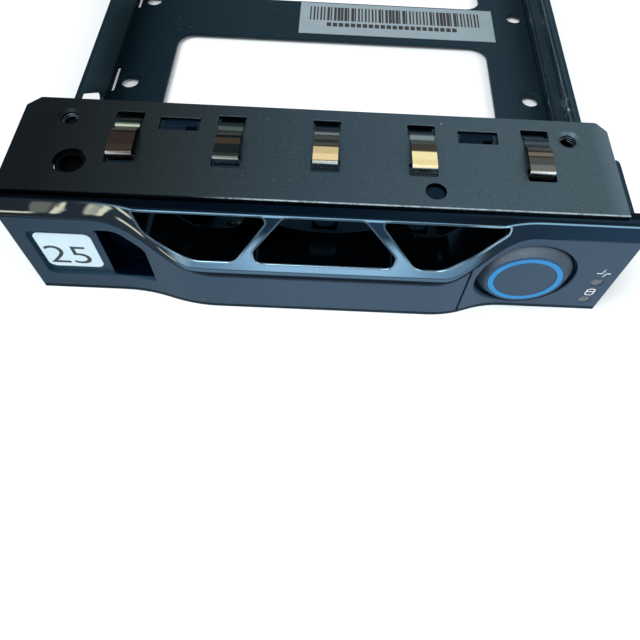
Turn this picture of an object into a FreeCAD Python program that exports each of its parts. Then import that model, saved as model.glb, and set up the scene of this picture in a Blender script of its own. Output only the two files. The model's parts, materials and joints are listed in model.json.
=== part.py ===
import FreeCAD, Part
import math
import os
import re
from types import SimpleNamespace

import Sketcher
from FreeCAD import Placement, Rotation, Vector

# Hot swap drive caddy for a 3.5 inch drive: a folded steel tray whose head holds a moulded front
# with air vents, a swinging lever, a round release button and two light pipes.
# Millimetres. +Z is up, +Y runs back into the chassis, +X is to the right seen from the front.
# The origin is on the centre line of the drive, at the front face, on the underside of the tray.

doc = FreeCAD.newDocument("drive_caddy")
sheet = doc.addObject("Spreadsheet::Sheet", "sizes")

values = {
    # drive that the tray carries
    "drive_width": 101.6,
    "drive_length": 147,
    "drive_start": 26.5,
    "drive_side_gap": 0.9,
    "drive_hole_inset": 3.175,
    "drive_hole_span": "=drive_width - 2 * drive_hole_inset",
    "drive_hole_first": 117.48,
    "drive_hole_second": 85.73,
    "drive_hole_third": 41.28,
    "drive_hole_radius": 2,
    # tray
    "tray_width": "=drive_width + 2 * (drive_side_gap + tray_sheet)",
    "tray_length": 168,
    "tray_sheet": 0.8,
    "tray_bend": 0.4,
    "tray_step": 1,
    "tray_step_start": 22.4,
    "tray_step_run": 1.2,
    "wall_top": 12.5,
    "wall_start": 24,
    "wall_corner": 2.5,
    "cheek_top": 21.3,
    "cheek_start": 1.75,
    "cheek_end": 19.6,
    "cheek_corner": 3,
    "window_inset": 11.9,
    "window_half": "=drive_width / 2 - window_inset",
    "window_corner": 4,
    "front_window_start": 47,
    "front_window_end": 75.3,
    "rear_window_start": 90.6,
    "rear_window_end": 148,
    "side_window_start": 28,
    "side_window_end": 50.5,
    "side_window_slant": 10,
    "side_window_rim": 1.3,
    "side_window_corner": 1,
    "slit_length": 8.8,
    "slit_width": 0.9,
    "slit_inset": 1.4,
    # head cover
    "cover_top": 26.8,
    "cover_sheet": 0.8,
    "cover_left_inset": 1.2,
    "cover_left": "=cover_left_inset - tray_width / 2",
    "cover_right_inset": 4.3,
    "cover_right": "=tray_width / 2 - cover_right_inset",
    "cover_front": 1.2,
    "cover_rear": 21.8,
    "cover_chamfer": 2,
    "cover_flange_start": 3,
    "cover_flange_end": 19.4,
    "cover_flange_lift": 2.6,
    "left_leg_inset": 2.1,
    "left_leg_start": "=cover_left + left_leg_inset",
    "left_leg_width": 5,
    "left_leg_end": "=left_leg_start + left_leg_width",
    "right_leg_width": 8.4,
    "right_leg_start": "=right_leg_end - right_leg_width",
    "right_leg_inset": 1.8,
    "right_leg_end": "=cover_right - right_leg_inset",
    "foot_length": 3.4,
    "pivot_hole_radius": 2.65,
    "locating_hole_radius": 1.72,
    "locating_hole_x": 17.7,
    "locating_hole_y": 4.6,
    "thread_radius": 1.4,
    "thread_collar": 0.8,
    "thread_depth": 2,
    "thread_dimple": 0.35,
    "thread_dimple_radius": 2.05,
    "left_thread_inset": 7.8,
    "left_thread_x": "=cover_left + left_thread_inset",
    "right_thread_inset": 7.1,
    "right_thread_x": "=cover_right - right_thread_inset",
    "thread_y": 17.4,
    "snap_slot_width": 6.8,
    "snap_slot_front": 15.4,
    "snap_slot_rear": 18.4,
    "left_snap_x": "=(finger_1_x + finger_2_x) / 2 - 0.1",
    "right_snap_x": "=(finger_4_x + finger_5_x) / 2 - 0.1",
    "rivet_radius": 1,
    "rivet_head_radius": 1.6,
    "rivet_head": 0.6,
    # spring fingers
    "finger_width": 4.1,
    "finger_sheet": 0.2,
    "finger_1_x": "=pivot_x + 7.65",
    "finger_2_x": "=(finger_1_x + finger_3_x) / 2 + 0.55",
    "finger_3_x": -0.1,
    "finger_4_x": "=(finger_3_x + finger_5_x) / 2 - 1.7",
    "finger_5_x": "=right_thread_x - 5.8",
    "finger_rise": 1.3,
    "finger_slot_width": 4.7,
    "finger_rear_front": 16.8,
    "finger_rear_back": 19.3,
    "finger_front_front": 7.6,
    "finger_front_back": 10.2,
    # moulded front
    "front_top": 26.2,
    "front_stock_depth": 14,
    "front_floor_gap": 0.15,
    "bulge": 2.8,
    "bulge_left_inset": 19.7,
    "bulge_left_outer": "=bulge_left_inset - tray_width / 2",
    "bulge_left_run": 9.1,
    "bulge_left_inner": "=bulge_left_outer + bulge_left_run",
    "bulge_right_run": 7.2,
    "bulge_right_inner": "=bulge_right_outer - bulge_right_run",
    "bulge_right_inset": 21.4,
    "bulge_right_outer": "=tray_width / 2 - bulge_right_inset",
    "bulge_left_radius": 30,
    "bulge_right_radius": 20,
    "wave_left_top": 21.4,
    "wave_right_top": 21.6,
    "wave_bottom": 10.4,
    "wave_left_inset": 18.5,
    "wave_left_outer": "=wave_left_inset - tray_width / 2",
    "wave_left_run": 11,
    "wave_left_inner": "=wave_left_outer + wave_left_run",
    "wave_right_run": 10.5,
    "wave_right_inner": "=wave_right_outer - wave_right_run",
    "wave_right_inset": 20.1,
    "wave_right_outer": "=tray_width / 2 - wave_right_inset",
    "wave_left_radius": 11,
    "wave_right_radius": 7,
    "slant_top": 1,
    "slant_bottom": 14.5,
    "trim_wall": 1.8,
    "trim_roof": 1.2,
    "trim_tongue": 2.7,
    "trim_joint": 0.12,
    "vent_top": 25.4,
    "vent_bottom": 14.8,
    "vent_wall": 1.1,
    "vent_depth": 7,
    "vent_scoop": 2.4,
    "vent_lip": 1.3,
    "left_vent_start": "=wave_left_outer + 3.9",
    "left_vent_corner": 19.6,
    "left_vent_foot_start": "=wave_left_inner + 0.5",
    "left_vent_foot": 7.6,
    "left_vent_foot_end": "=left_vent_foot_start + left_vent_foot",
    "left_vent_end": "=left_vent_foot_end + 5.8",
    "vent_web": 3.6,
    "middle_vent_foot_start": "=left_vent_foot_end + vent_web",
    "middle_vent_foot_end": "=right_vent_foot_start - vent_web - 0.4",
    "middle_vent_shoulder": 17.5,
    "middle_vent_top_start": "=middle_vent_foot_start + 5.1",
    "middle_vent_top_end": "=middle_vent_foot_end - 5.3",
    "right_vent_start": "=right_vent_foot_start - 6.4",
    "right_vent_foot": 4.7,
    "right_vent_foot_start": "=right_vent_foot_end - right_vent_foot",
    "right_vent_foot_end": "=wave_right_inner - 1.3",
    "right_vent_end": "=wave_right_outer - 2.6",
    "right_vent_corner": 23,
    "trim_boss_radius": 1.8,
    "trim_boss_height": 12.4,
    "left_trim_screw_x": "=left_vent_foot_end - 1.1",
    "right_trim_screw_x": "=right_vent_foot_start - 1.9",
    "trim_screw_radius": 1,
    "trim_screw_head": 1.6,
    "trim_screw_length": 3.5,
    "trim_screw_cap": 0.9,
    # lever
    "lever_gap": 0.3,
    "seam_inset": 26.8,
    "seam_x": "=tray_width / 2 - seam_inset",
    "seam_gap": 0.4,
    "lever_wall": 1.8,
    "lever_rib": 1.4,
    "lever_depth": 3.4,
    "pivot_inset": 11.45,
    "pivot_x": "=pivot_inset - tray_width / 2",
    "pivot_y": 7.6,
    "pivot_radius": 2,
    "pivot_running_gap": 0.07,
    "pivot_head": 2,
    "pivot_socket_radius": 1.9,
    "pivot_socket_depth": 1.7,
    "pivot_head_sink": 0.6,
    "pivot_tenon_radius": 1.3,
    "pivot_boss_radius": 4.2,
    "lower_boss_top": 7,
    "upper_boss_bottom": 15,
    "recess_depth": 0.6,
    "recess_inset": 2.6,
    "recess_left": "=recess_inset - tray_width / 2",
    "recess_bottom": 4.8,
    "recess_top": 17.6,
    "recess_corner": 1.4,
    "pivot_to_grip": 2.95,
    "grip_left": "=pivot_x + pivot_to_grip",
    "grip_length": 7.8,
    "grip_right": "=grip_left + grip_length",
    "grip_bottom": 4.4,
    "grip_top": 18.5,
    "grip_depth": 4.5,
    "grip_wall": 1,
    "number_margin": 0.6,
    "number_left": "=recess_left + number_margin",
    "number_bottom": 6.65,
    "number_size": 9.8,
    "number_corner": 1.3,
    "label_thickness": 0.12,
    "hook_width": 1.3,
    "hook_barb": 2.4,
    "hook_inset": 4.4,
    "hook_left": "=seam_x - hook_inset",
    "hook_length": 10.4,
    "hook_barb_length": 1.6,
    "hook_bottom": 2.6,
    "hook_top": 5.4,
    # release button and latch
    "button_inset": 16.5,
    "button_x": "=tray_width / 2 - button_inset",
    "button_z": 10.7,
    "button_face_radius": 6.95,
    "button_skirt_radius": 8.3,
    "button_proud": 1,
    "button_cone": 1.5,
    "button_skirt_end": 5.2,
    "button_wall": 1.6,
    "button_post_radius": 2.2,
    "button_post_end": 4.2,
    "button_travel": 2,
    "button_running_gap": 0.2,
    "button_recess_radius": 9,
    "button_recess": 0.8,
    "button_tube_wall": 1.2,
    "button_tube_end": 5,
    "button_lug": 1.1,
    "button_lug_width": 3,
    "button_lug_thickness": 1.2,
    "ring_inner": 5.45,
    "ring_outer": 6.45,
    "ring_depth": 0.5,
    "cam_width": 5.2,
    "cam_left": "=button_x - cam_width / 2",
    "cam_right": "=button_x + cam_width / 2",
    "cam_end": 8.5,
    "cam_slope": 1.8,
    "cam_bottom": 2.9,
    "slide_overhang": 1.8,
    "slide_left": "=seam_x - slide_overhang",
    "slide_shoulder": 2.4,
    "slide_right": "=cam_right + slide_shoulder",
    "slide_front": 7.6,
    "slide_rear": 12.4,
    "slide_height": 3,
    "slide_gap": 0.2,
    "seat_front": 12.9,
    "seat_wall": 1.4,
    "seat_width": 12,
    "seat_left": "=button_x - seat_width / 2",
    "seat_right": "=button_x + seat_width / 2",
    "seat_top": 17.5,
    "button_spring_radius": 3,
    "button_spring_wire": 0.25,
    "button_spring_turns": 4,
    "latch_spring_radius": 1.15,
    "latch_spring_wire": 0.2,
    "latch_spring_turns": 3,
    "latch_spring_y": 10,
    "latch_spring_length": 4.2,
    "latch_stop": "=slide_right + latch_spring_length",
    "lever_spring_radius": 2.6,
    "lever_spring_wire": 0.28,
    "lever_spring_turns": 3.25,
    "lever_spring_bottom": 8.2,
    "lever_spring_top": 13.8,
    # housing behind the lever
    "panel_wall": 1.6,
    "housing_floor": 1.4,
    "housing_wall": 1.4,
    "housing_front": 4.6,
    "housing_rear": 17.3,
    "housing_left": "=wave_left_inner - 5.4",
    "housing_inset": 5.5,
    "housing_right": "=tray_width / 2 - housing_inset",
    "housing_bulkhead_top": 13.6,
    "housing_side_top": 24,
    "duct_right": "=seam_x - 0.1",
    "snap_post_width": 5.4,
    "snap_post_thickness": 1.5,
    "snap_post_sink": 0.4,
    "housing_screw_1_x": -20,
    "housing_screw_1_y": 11,
    "housing_screw_2_x": 0,
    "housing_screw_2_y": 15,
    "housing_screw_3_x": 18,
    "housing_screw_3_y": 15,
    "screw_radius": 1.25,
    "screw_head_radius": 2.2,
    "screw_length": 5,
    "screw_boss_radius": 2.6,
    # light pipes
    "led_inset": 2.9,
    "led_x": "=tray_width / 2 - led_inset",
    "upper_led_z": 9.24,
    "lower_led_z": 3.32,
    "led_radius": 1.1,
    "led_gap": 0.05,
    "led_sink": 0.15,
    "pipe_width": 2,
    "pipe_jog_start": 20.5,
    "pipe_jog_end": 25.5,
    "pipe_strip": 0.7,
    "pipe_wall_gap": 0.05,
    "pipe_strip_height": 2,
    "upper_strip_bottom": 9.4,
    "pipe_ear_1_y": 41,
    "pipe_ear_2_y": 92,
    "pipe_ear_3_y": 143,
    "pipe_end": 165,
    # label on the cross bar
    "bar_label_left": -9,
    "bar_label_right": 41.7,
    "bar_label_margin": 1.9,
}

# degrees that each finger stands askew in its slots
finger_turns = [1.4, 0.3, -0.4, 0.5, -1.6]


def fill_sheet():
    for row, alias in enumerate(values, 1):
        sheet.set(f"A{row}", alias)
        sheet.setAlias(f"B{row}", alias)
    for row, value in enumerate(values.values(), 1):
        sheet.set(f"B{row}", str(value))
    doc.recompute()


fill_sheet()
s = SimpleNamespace(**{alias: float(sheet.get(alias)) for alias in values})
finger_places = [s.finger_1_x, s.finger_2_x, s.finger_3_x, s.finger_4_x, s.finger_5_x]
housing_screw_places = [
    (s.housing_screw_1_x, s.housing_screw_1_y), (s.housing_screw_2_x, s.housing_screw_2_y),
    (s.housing_screw_3_x, s.housing_screw_3_y),
]
pipe_ear_places = [s.pipe_ear_1_y, s.pipe_ear_2_y, s.pipe_ear_3_y]


# ---------- helpers ----------

def formula(text):
    """A formula in the sheet's aliases, as FreeCAD's expressions want it."""
    return re.sub(r"[a-z][a-z0-9_]+", lambda word: f"sizes.{word[0]}" if word[0] in values else word[0],
                  str(text))


def bind(obj, formulas):
    for name, text in formulas.items():
        obj.setExpression(name, formula(text))


def box(name, x, y, z):
    """Block between three pairs of formulas."""
    obj = doc.addObject("Part::Box", name)
    bind(obj, {
        "Length": f"({x[1]}) - ({x[0]})",
        "Width": f"({y[1]}) - ({y[0]})",
        "Height": f"({z[1]}) - ({z[0]})",
        "Placement.Base.x": x[0],
        "Placement.Base.y": y[0],
        "Placement.Base.z": z[0],
    })
    return obj


turns = {
    "x": Rotation(Vector(0, 1, 0), 90),
    "y": Rotation(Vector(1, 0, 0), -90),
    "z": Rotation(),
}


def rod(name, axis, radius, start, end, centre):
    """Cylinder along an axis, from start to end; centre holds the two other coordinates."""
    obj = doc.addObject("Part::Cylinder", name)
    obj.Placement = Placement(Vector(), turns[axis])
    others = [letter for letter in "xyz" if letter != axis]
    bind(obj, {
        "Radius": radius,
        "Height": f"({end}) - ({start})",
        f"Placement.Base.{axis}": start,
        f"Placement.Base.{others[0]}": centre[0],
        f"Placement.Base.{others[1]}": centre[1],
    })
    return obj


def cone(name, first_radius, second_radius, start, end, centre):
    """Upright cone from start to end."""
    obj = doc.addObject("Part::Cone", name)
    bind(obj, {
        "Radius1": first_radius,
        "Radius2": second_radius,
        "Height": f"({end}) - ({start})",
        "Placement.Base.x": centre[0],
        "Placement.Base.y": centre[1],
        "Placement.Base.z": start,
    })
    return obj


def fuse(name, *pieces):
    obj = doc.addObject("Part::MultiFuse", name)
    obj.Shapes = list(pieces)
    obj.Refine = True
    return obj


def common(name, *pieces):
    obj = doc.addObject("Part::MultiCommon", name)
    obj.Shapes = list(pieces)
    return obj


def cut(name, base, *tools):
    obj = doc.addObject("Part::Cut", name)
    obj.Base = base
    obj.Tool = tools[0] if len(tools) == 1 else fuse(f"{name}_tools", *tools)
    obj.Refine = True
    return obj


def offset(corners, grow):
    """A counter-clockwise outline of (x, y, radius) corners, moved outwards by grow."""
    moved = []
    for index, (x, y, radius) in enumerate(corners):
        before = corners[index - 1]
        after = corners[(index + 1) % len(corners)]
        arrive = Vector(x - before[0], y - before[1], 0).normalize()
        leave = Vector(after[0] - x, after[1] - y, 0).normalize()
        normal_in = Vector(arrive.y, -arrive.x, 0)
        normal_out = Vector(leave.y, -leave.x, 0)
        shift = (normal_in + normal_out) * (grow / (1 + normal_in.dot(normal_out)))
        bend = grow if arrive.cross(leave).z > 0 else -grow
        moved.append((x + shift.x, y + shift.y, max(radius + bend, 0) if radius else 0))
    return moved


def outline(corners):
    """Lines joined by tangent arcs round the (x, y, radius) corners."""
    runs = []
    for index, (x, y, radius) in enumerate(corners):
        here = Vector(x, y, 0)
        back = (Vector(*corners[index - 1][:2], 0) - here).normalize()
        ahead = (Vector(*corners[(index + 1) % len(corners)][:2], 0) - here).normalize()
        half = back.getAngle(ahead) / 2
        if radius <= 0 or abs(half - math.pi / 2) < 1e-4:
            runs.append((here, None, here))
            continue
        reach = radius / math.tan(half)
        middle = (back + ahead).normalize() * (radius / math.sin(half) - radius)
        runs.append((here + back * reach, here + middle, here + ahead * reach))
    edges = []
    for index, (start, middle, end) in enumerate(runs):
        if middle:
            edges.append(Part.Arc(start, middle, end))
        following = runs[(index + 1) % len(runs)][0]
        if end.distanceToPoint(following) > 1e-6:
            edges.append(Part.LineSegment(end, following))
    return edges


def origin_plane(body, role):
    return next(feature for feature in body.Origin.OriginFeatures if feature.Role == role)


def sketch(body, name, role, edges, lift="0"):
    """Sketch on an origin plane of its own body; lift moves it along the plane's normal."""
    obj = body.newObject("Sketcher::SketchObject", name)
    obj.AttachmentSupport = [(origin_plane(body, role), "")]
    obj.MapMode = "FlatFace"
    obj.addGeometry(edges, False)
    obj.setExpression("AttachmentOffset.Base.z", formula(lift))
    return obj


def new_body(name):
    return doc.addObject("PartDesign::Body", name)


def pad(body, profile, length, reverse=False, middle=False):
    feature = body.newObject("PartDesign::Pad", f"{profile.Name}_pad")
    feature.Profile = profile
    feature.Reversed = reverse
    feature.Midplane = middle
    bind(feature, {"Length": length})
    profile.Visibility = False
    return feature


def pocket(body, profile, length=None, reverse=False, middle=False):
    """Pocket to a length, or through everything both ways."""
    feature = body.newObject("PartDesign::Pocket", f"{profile.Name}_pocket")
    feature.Profile = profile
    feature.Midplane = middle
    feature.Reversed = reverse
    if length is None:
        feature.Type = 1
        feature.Midplane = True
    else:
        bind(feature, {"Length": length})
    return feature


def revolve(body, profile, axis):
    feature = body.newObject("PartDesign::Revolution", f"{profile.Name}_turned")
    feature.Profile = profile
    feature.ReferenceAxis = (profile, [axis])
    feature.Angle = 360
    return feature


def upright(name, corners, bottom, top):
    """Prism of a plan outline between two heights."""
    body = new_body(name)
    profile = sketch(body, f"{name}_plan", "XY_Plane", outline(corners), bottom)
    pad(body, profile, f"({top}) - ({bottom})")
    return body


def facing(name, corners, front, rear):
    """Prism of an outline seen from the front (x, z), between two depths."""
    body = new_body(name)
    profile = sketch(body, f"{name}_face", "XZ_Plane", outline(corners), f"-({front})")
    pad(body, profile, f"({rear}) - ({front})", reverse=True)
    return body


def circle(x, y, radius):
    return Part.Circle(Vector(x, y, 0), Vector(0, 0, 1), radius)


def rectangle(left, bottom, right, top, radius=0):
    return [(left, bottom, radius), (right, bottom, radius), (right, top, radius), (left, top, radius)]


def coil(name, radius, wire, turns_count, start, end, placement, legs=()):
    """Wire wound to a helix about Z; legs are straight wires added at its ends."""
    helix = Part.makeHelix((end - start) / turns_count, end - start, radius)
    helix.translate(Vector(0, 0, start))
    angles = [math.radians(turn) for turn in range(0, 361, 60)]
    corners = [Vector(radius + wire * math.cos(angle), 0, start + wire * math.sin(angle)) for angle in angles]
    shapes = [Part.Wire(helix).makePipeShell([Part.makePolygon(corners)], True, True)]
    for leg_start, leg_end in legs:
        run = leg_end - leg_start
        shapes.append(Part.makeCylinder(wire * 0.9, run.Length, leg_start, run))
    obj = doc.addObject("Part::Feature", name)
    obj.Shape = Part.Compound(shapes) if legs else shapes[0]
    obj.Placement = placement
    return obj


finished = {}


def finish(node, obj):
    """Name a finished sub-part; its label is its file's name."""
    obj.Label = node
    finished[node] = obj
    return obj


# ---------- shared outlines ----------

half_width = s.tray_width / 2
floor_top = s.tray_sheet
bay_floor = s.tray_step + s.tray_sheet
cover_under = s.cover_top - s.cover_sheet
drive_end = s.drive_start + s.drive_length
hole_rows = [drive_end - s.drive_hole_first, drive_end - s.drive_hole_second,
             drive_end - s.drive_hole_third]


def bulge_plan(back, inset=0):
    """Plan of the front between its curved face, moved in by inset, and a straight back."""
    left, right = -half_width, half_width
    corners = [
        (left, back, 0), (left, 0, 0),
        (s.bulge_left_outer, 0, s.bulge_left_radius),
        (s.bulge_left_inner, -s.bulge, s.bulge_left_radius),
        (s.bulge_right_inner, -s.bulge, s.bulge_right_radius),
        (s.bulge_right_outer, 0, s.bulge_right_radius),
        (right, 0, 0), (right, back, 0),
    ]
    moved = offset(corners, -inset)
    return [(left, back, 0), (left, moved[1][1], 0), *moved[2:6], (right, moved[6][1], 0),
            (right, back, 0)]


def wave_line():
    """The wave between the gloss trim and the matte parts below it, from left to right."""
    return [
        (s.wave_left_outer, s.wave_left_top, s.wave_left_radius),
        (s.wave_left_inner, s.wave_bottom, s.wave_left_radius),
        (s.wave_right_inner, s.wave_bottom, s.wave_right_radius),
        (s.wave_right_outer, s.wave_right_top, s.wave_right_radius),
    ]


def below_wave(gap):
    """Everything under the wave, less a gap."""
    far = half_width + 5
    corners = [(-far, -5, 0), (far, -5, 0), (far, s.wave_right_top, 0), *reversed(wave_line()),
               (-far, s.wave_left_top, 0)]
    return offset(corners, -gap)


def above_wave():
    far = half_width + 5
    return [(far, s.cover_top + 5, 0), (-far, s.cover_top + 5, 0), (-far, s.wave_left_top, 0),
            *wave_line(), (far, s.wave_right_top, 0)]


def vent_outlines():
    """The three vents seen from the front, counter-clockwise."""
    top, bottom = s.vent_top, s.vent_bottom
    lip = top - s.vent_lip
    shoulder = s.middle_vent_shoulder
    left = [(s.left_vent_start + 0.8, s.left_vent_corner, 4.5), (s.left_vent_foot_start, bottom, 6),
            (s.left_vent_foot_end, bottom, 2.5), (s.left_vent_end, lip, 1),
            (s.left_vent_end - 0.4, top, 0.5), (s.left_vent_start, top, 0.5)]
    middle = [(s.middle_vent_foot_start, bottom, 1.2), (s.middle_vent_foot_end, bottom, 1.2),
              (s.middle_vent_foot_end + 0.4, shoulder, 1.2), (s.middle_vent_top_end, top, 1.4),
              (s.middle_vent_top_start, top, 1.4), (s.middle_vent_foot_start - 0.3, shoulder, 1.2)]
    right = [(s.right_vent_foot_start, bottom, 3), (s.right_vent_foot_end, bottom, 4),
             (s.right_vent_end, s.right_vent_corner, 1.3), (s.right_vent_end - 0.3, top, 0.8),
             (s.right_vent_start, top, 0.5), (s.right_vent_start + 0.3, lip, 1)]
    return [left, middle, right]


# ---------- steel tray ----------

def make_tray():
    body = new_body("tray")
    under = s.tray_step_start
    rise = under + s.tray_step_run
    slope = math.hypot(s.tray_step_run, s.tray_step)
    shift = s.tray_sheet * (slope - s.tray_step_run) / s.tray_step
    profile = [
        (-s.bulge - 1, 0, 0), (under, 0, 0), (rise, s.tray_step, 0), (s.tray_length, s.tray_step, 0),
        (s.tray_length, bay_floor, 0), (rise - shift, bay_floor, 0), (under - shift, floor_top, 0),
        (-s.bulge - 1, floor_top, 0),
    ]
    pad(body, sketch(body, "tray_floor", "YZ_Plane", outline(profile)), "tray_width", middle=True)

    far = half_width + 2
    ahead = -s.bulge - 3
    waste = [(-far, ahead, 0), (far, ahead, 0), (far, 0, 0), *reversed(bulge_plan(1)[2:-2]), (-far, 0, 0)]
    pocket(body, sketch(body, "tray_front", "XY_Plane", outline(waste)))

    left_wall = [
        (s.wall_start, s.tray_step, 0), (s.tray_length, s.tray_step, 0),
        (s.tray_length, s.wall_top, s.wall_corner), (s.wall_start, s.wall_top, s.wall_corner),
    ]
    left = sketch(body, "tray_left_wall", "YZ_Plane", outline(left_wall), "-tray_width / 2")
    pad(body, left, "tray_sheet")
    right_wall = [
        (s.cheek_start, 0, 0), (under, 0, 0), (rise, s.tray_step, 0), (s.tray_length, s.tray_step, 0),
        (s.tray_length, s.wall_top, s.wall_corner), (s.cheek_end + s.wall_corner, s.wall_top, 1.5),
        (s.cheek_end, s.cheek_top, s.cheek_corner), (s.cheek_start, s.cheek_top, 0.5),
    ]
    right = sketch(body, "tray_right_wall", "YZ_Plane", outline(right_wall), "tray_width / 2")
    pad(body, right, "tray_sheet", reverse=True)

    windows = outline(rectangle(-s.window_half, s.front_window_start, s.window_half, s.front_window_end,
                                s.window_corner))
    windows += outline(rectangle(-s.window_half, s.rear_window_start, s.window_half, s.rear_window_end,
                                 s.window_corner))
    for row in hole_rows:
        for side in (-1, 1):
            windows.append(circle(side * s.drive_hole_span / 2, row, s.drive_hole_radius))
    slit_x = -half_width + s.slit_inset
    for row in hole_rows[:2]:
        windows += outline(rectangle(slit_x - s.slit_width / 2, row - s.slit_length / 2 + 1,
                                     slit_x + s.slit_width / 2, row + s.slit_length / 2 + 1,
                                     s.slit_width / 2.2))
    windows.append(circle(s.pivot_x, s.pivot_y, s.pivot_tenon_radius))
    for x, y in rivet_places():
        windows.append(circle(x, y, s.rivet_radius))
    pocket(body, sketch(body, "tray_openings", "XY_Plane", windows))

    low, high, corner = bay_floor + s.side_window_rim, s.wall_top - s.side_window_rim, s.side_window_corner
    side_window = [(s.side_window_start, low, corner), (s.side_window_end, low, corner),
                   (s.side_window_end - s.side_window_slant, high, corner),
                   (s.side_window_start, high, corner)]
    opening = sketch(body, "tray_side_window", "YZ_Plane", outline(side_window), "-tray_width / 2")
    pocket(body, opening, "tray_sheet", reverse=True)
    ears = []
    for y in pipe_ear_places:
        for bottom in pipe_ear_heights():
            ears += outline(rectangle(y - 1.5, bottom, y + 1.5, bottom + 1))
    slots = sketch(body, "tray_ear_slots", "YZ_Plane", ears, "tray_width / 2")
    pocket(body, slots, "tray_sheet")
    doc.recompute()

    solid = body.Tip
    inner = []
    outer = []
    for number, edge in enumerate(solid.Shape.Edges, 1):
        box_of = edge.BoundBox
        along = box_of.YLength > 40 and box_of.XLength < 0.01 and box_of.ZLength < 0.01
        if not along:
            continue
        if abs(abs(box_of.XMin) - half_width) < 0.01 and abs(box_of.ZMin - s.tray_step) < 0.01:
            outer.append(f"Edge{number}")
        if abs(abs(box_of.XMin) - half_width + s.tray_sheet) < 0.01 and abs(box_of.ZMin - bay_floor) < 0.01:
            inner.append(f"Edge{number}")
    outside = body.newObject("PartDesign::Fillet", "tray_outer_bend")
    outside.Base = (solid, outer)
    bind(outside, {"Radius": "tray_bend + tray_sheet * 0.75"})
    doc.recompute()

    screws = []
    for index, (x, y) in enumerate(housing_screw_places):
        screws.append(cone(f"tray_sink_{index}", "screw_head_radius", "screw_radius", "0", "tray_sheet",
                           (x, y)))
    return finish("tray_base", cut("tray_drilled", body, *screws))


def rivet_places():
    foot = s.cover_rear - s.cover_sheet - s.foot_length / 2
    return [((s.left_leg_start + s.left_leg_end) / 2, foot),
            (s.right_leg_start + 2.2, foot), (s.right_leg_end - 2.2, foot)]


def pipe_ear_heights():
    return [s.lower_led_z - 0.5, s.upper_strip_bottom + s.pipe_strip_height / 2 - 0.5]


# ---------- head cover ----------

def make_cover():
    chamfer = s.cover_chamfer
    plate = [
        (s.cover_left, s.cover_front, 0), (s.cover_right, s.cover_front, 0),
        (s.cover_right, s.cover_rear - chamfer, 0.6), (s.cover_right - chamfer * 0.8, s.cover_rear, 0.6),
        (s.cover_left + chamfer, s.cover_rear, 0.6), (s.cover_left, s.cover_rear - chamfer, 0.6),
    ]
    body = new_body("cover")
    pad(body, sketch(body, "cover_plate", "XY_Plane", outline(plate), "cover_top - cover_sheet"),
        "cover_sheet")
    holes = [
        circle(s.pivot_x, s.pivot_y, s.pivot_hole_radius),
        circle(s.locating_hole_x, s.locating_hole_y, s.locating_hole_radius),
        circle(s.left_thread_x, s.thread_y, s.thread_radius),
        circle(s.right_thread_x, s.thread_y, s.thread_radius),
    ]
    for x in finger_places:
        left, right = x - s.finger_slot_width / 2, x + s.finger_slot_width / 2
        holes += outline(rectangle(left, s.finger_rear_front, right, s.finger_rear_back, 0.3))
        holes += outline(rectangle(left, s.finger_front_front, right, s.finger_front_back, 0.3))
    for x in (s.left_snap_x, s.right_snap_x):
        holes += outline(rectangle(x - s.snap_slot_width / 2, s.snap_slot_front,
                                   x + s.snap_slot_width / 2, s.snap_slot_rear, 0.3))
    pocket(body, sketch(body, "cover_holes", "XY_Plane", holes, "cover_top"), "cover_sheet + 1")

    pieces = [body]
    flange = ("cover_right - cover_sheet", "cover_right")
    pieces.append(box("cover_flange", flange, ("cover_flange_start", "cover_flange_end"),
                      ("cover_flange_lift", "cover_top - cover_sheet")))
    for side in ("left", "right"):
        span = (f"{side}_leg_start", f"{side}_leg_end")
        pieces.append(box(f"cover_{side}_leg", span, ("cover_rear - cover_sheet", "cover_rear"),
                          ("tray_sheet", "cover_top - cover_sheet")))
        pieces.append(box(f"cover_{side}_foot", span,
                          ("cover_rear - cover_sheet - foot_length", "cover_rear - cover_sheet"),
                          ("tray_sheet", "tray_sheet + cover_sheet")))
        pieces.append(rod(f"cover_{side}_collar", "z", "thread_radius + thread_collar",
                          "cover_top - thread_depth", "cover_top - cover_sheet",
                          (f"{side}_thread_x", "thread_y")))
    tools = []
    for side in ("left", "right"):
        centre = (f"{side}_thread_x", "thread_y")
        tools.append(rod(f"cover_{side}_tap", "z", "thread_radius", "cover_top - thread_depth - 1",
                         "cover_top + 1", centre))
        tools.append(cone(f"cover_{side}_dimple", "thread_radius", "thread_dimple_radius",
                          "cover_top - thread_dimple", "cover_top", centre))
    for index, (x, y) in enumerate(rivet_places()):
        tools.append(rod(f"cover_rivet_hole_{index}", "z", "rivet_radius", "0",
                         "tray_sheet + cover_sheet + 1", (x, y)))
    return finish("head_cover", cut("cover_cut", fuse("cover_folded", *pieces), *tools))


def make_rivets():
    pieces = []
    for index, (x, y) in enumerate(rivet_places()):
        shank = rod(f"rivet_shank_{index}", "z", "rivet_radius", "0", "tray_sheet + cover_sheet", (x, y))
        head = cone(f"rivet_head_{index}", "rivet_head_radius", "rivet_head_radius * 0.65",
                    "tray_sheet + cover_sheet", "tray_sheet + cover_sheet + rivet_head", (x, y))
        pieces.append(fuse(f"rivet_{index}", shank, head))
    group = doc.addObject("Part::Compound", "rivets")
    group.Links = pieces
    return finish("cover_rivets", group)


# ---------- spring fingers ----------

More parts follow.
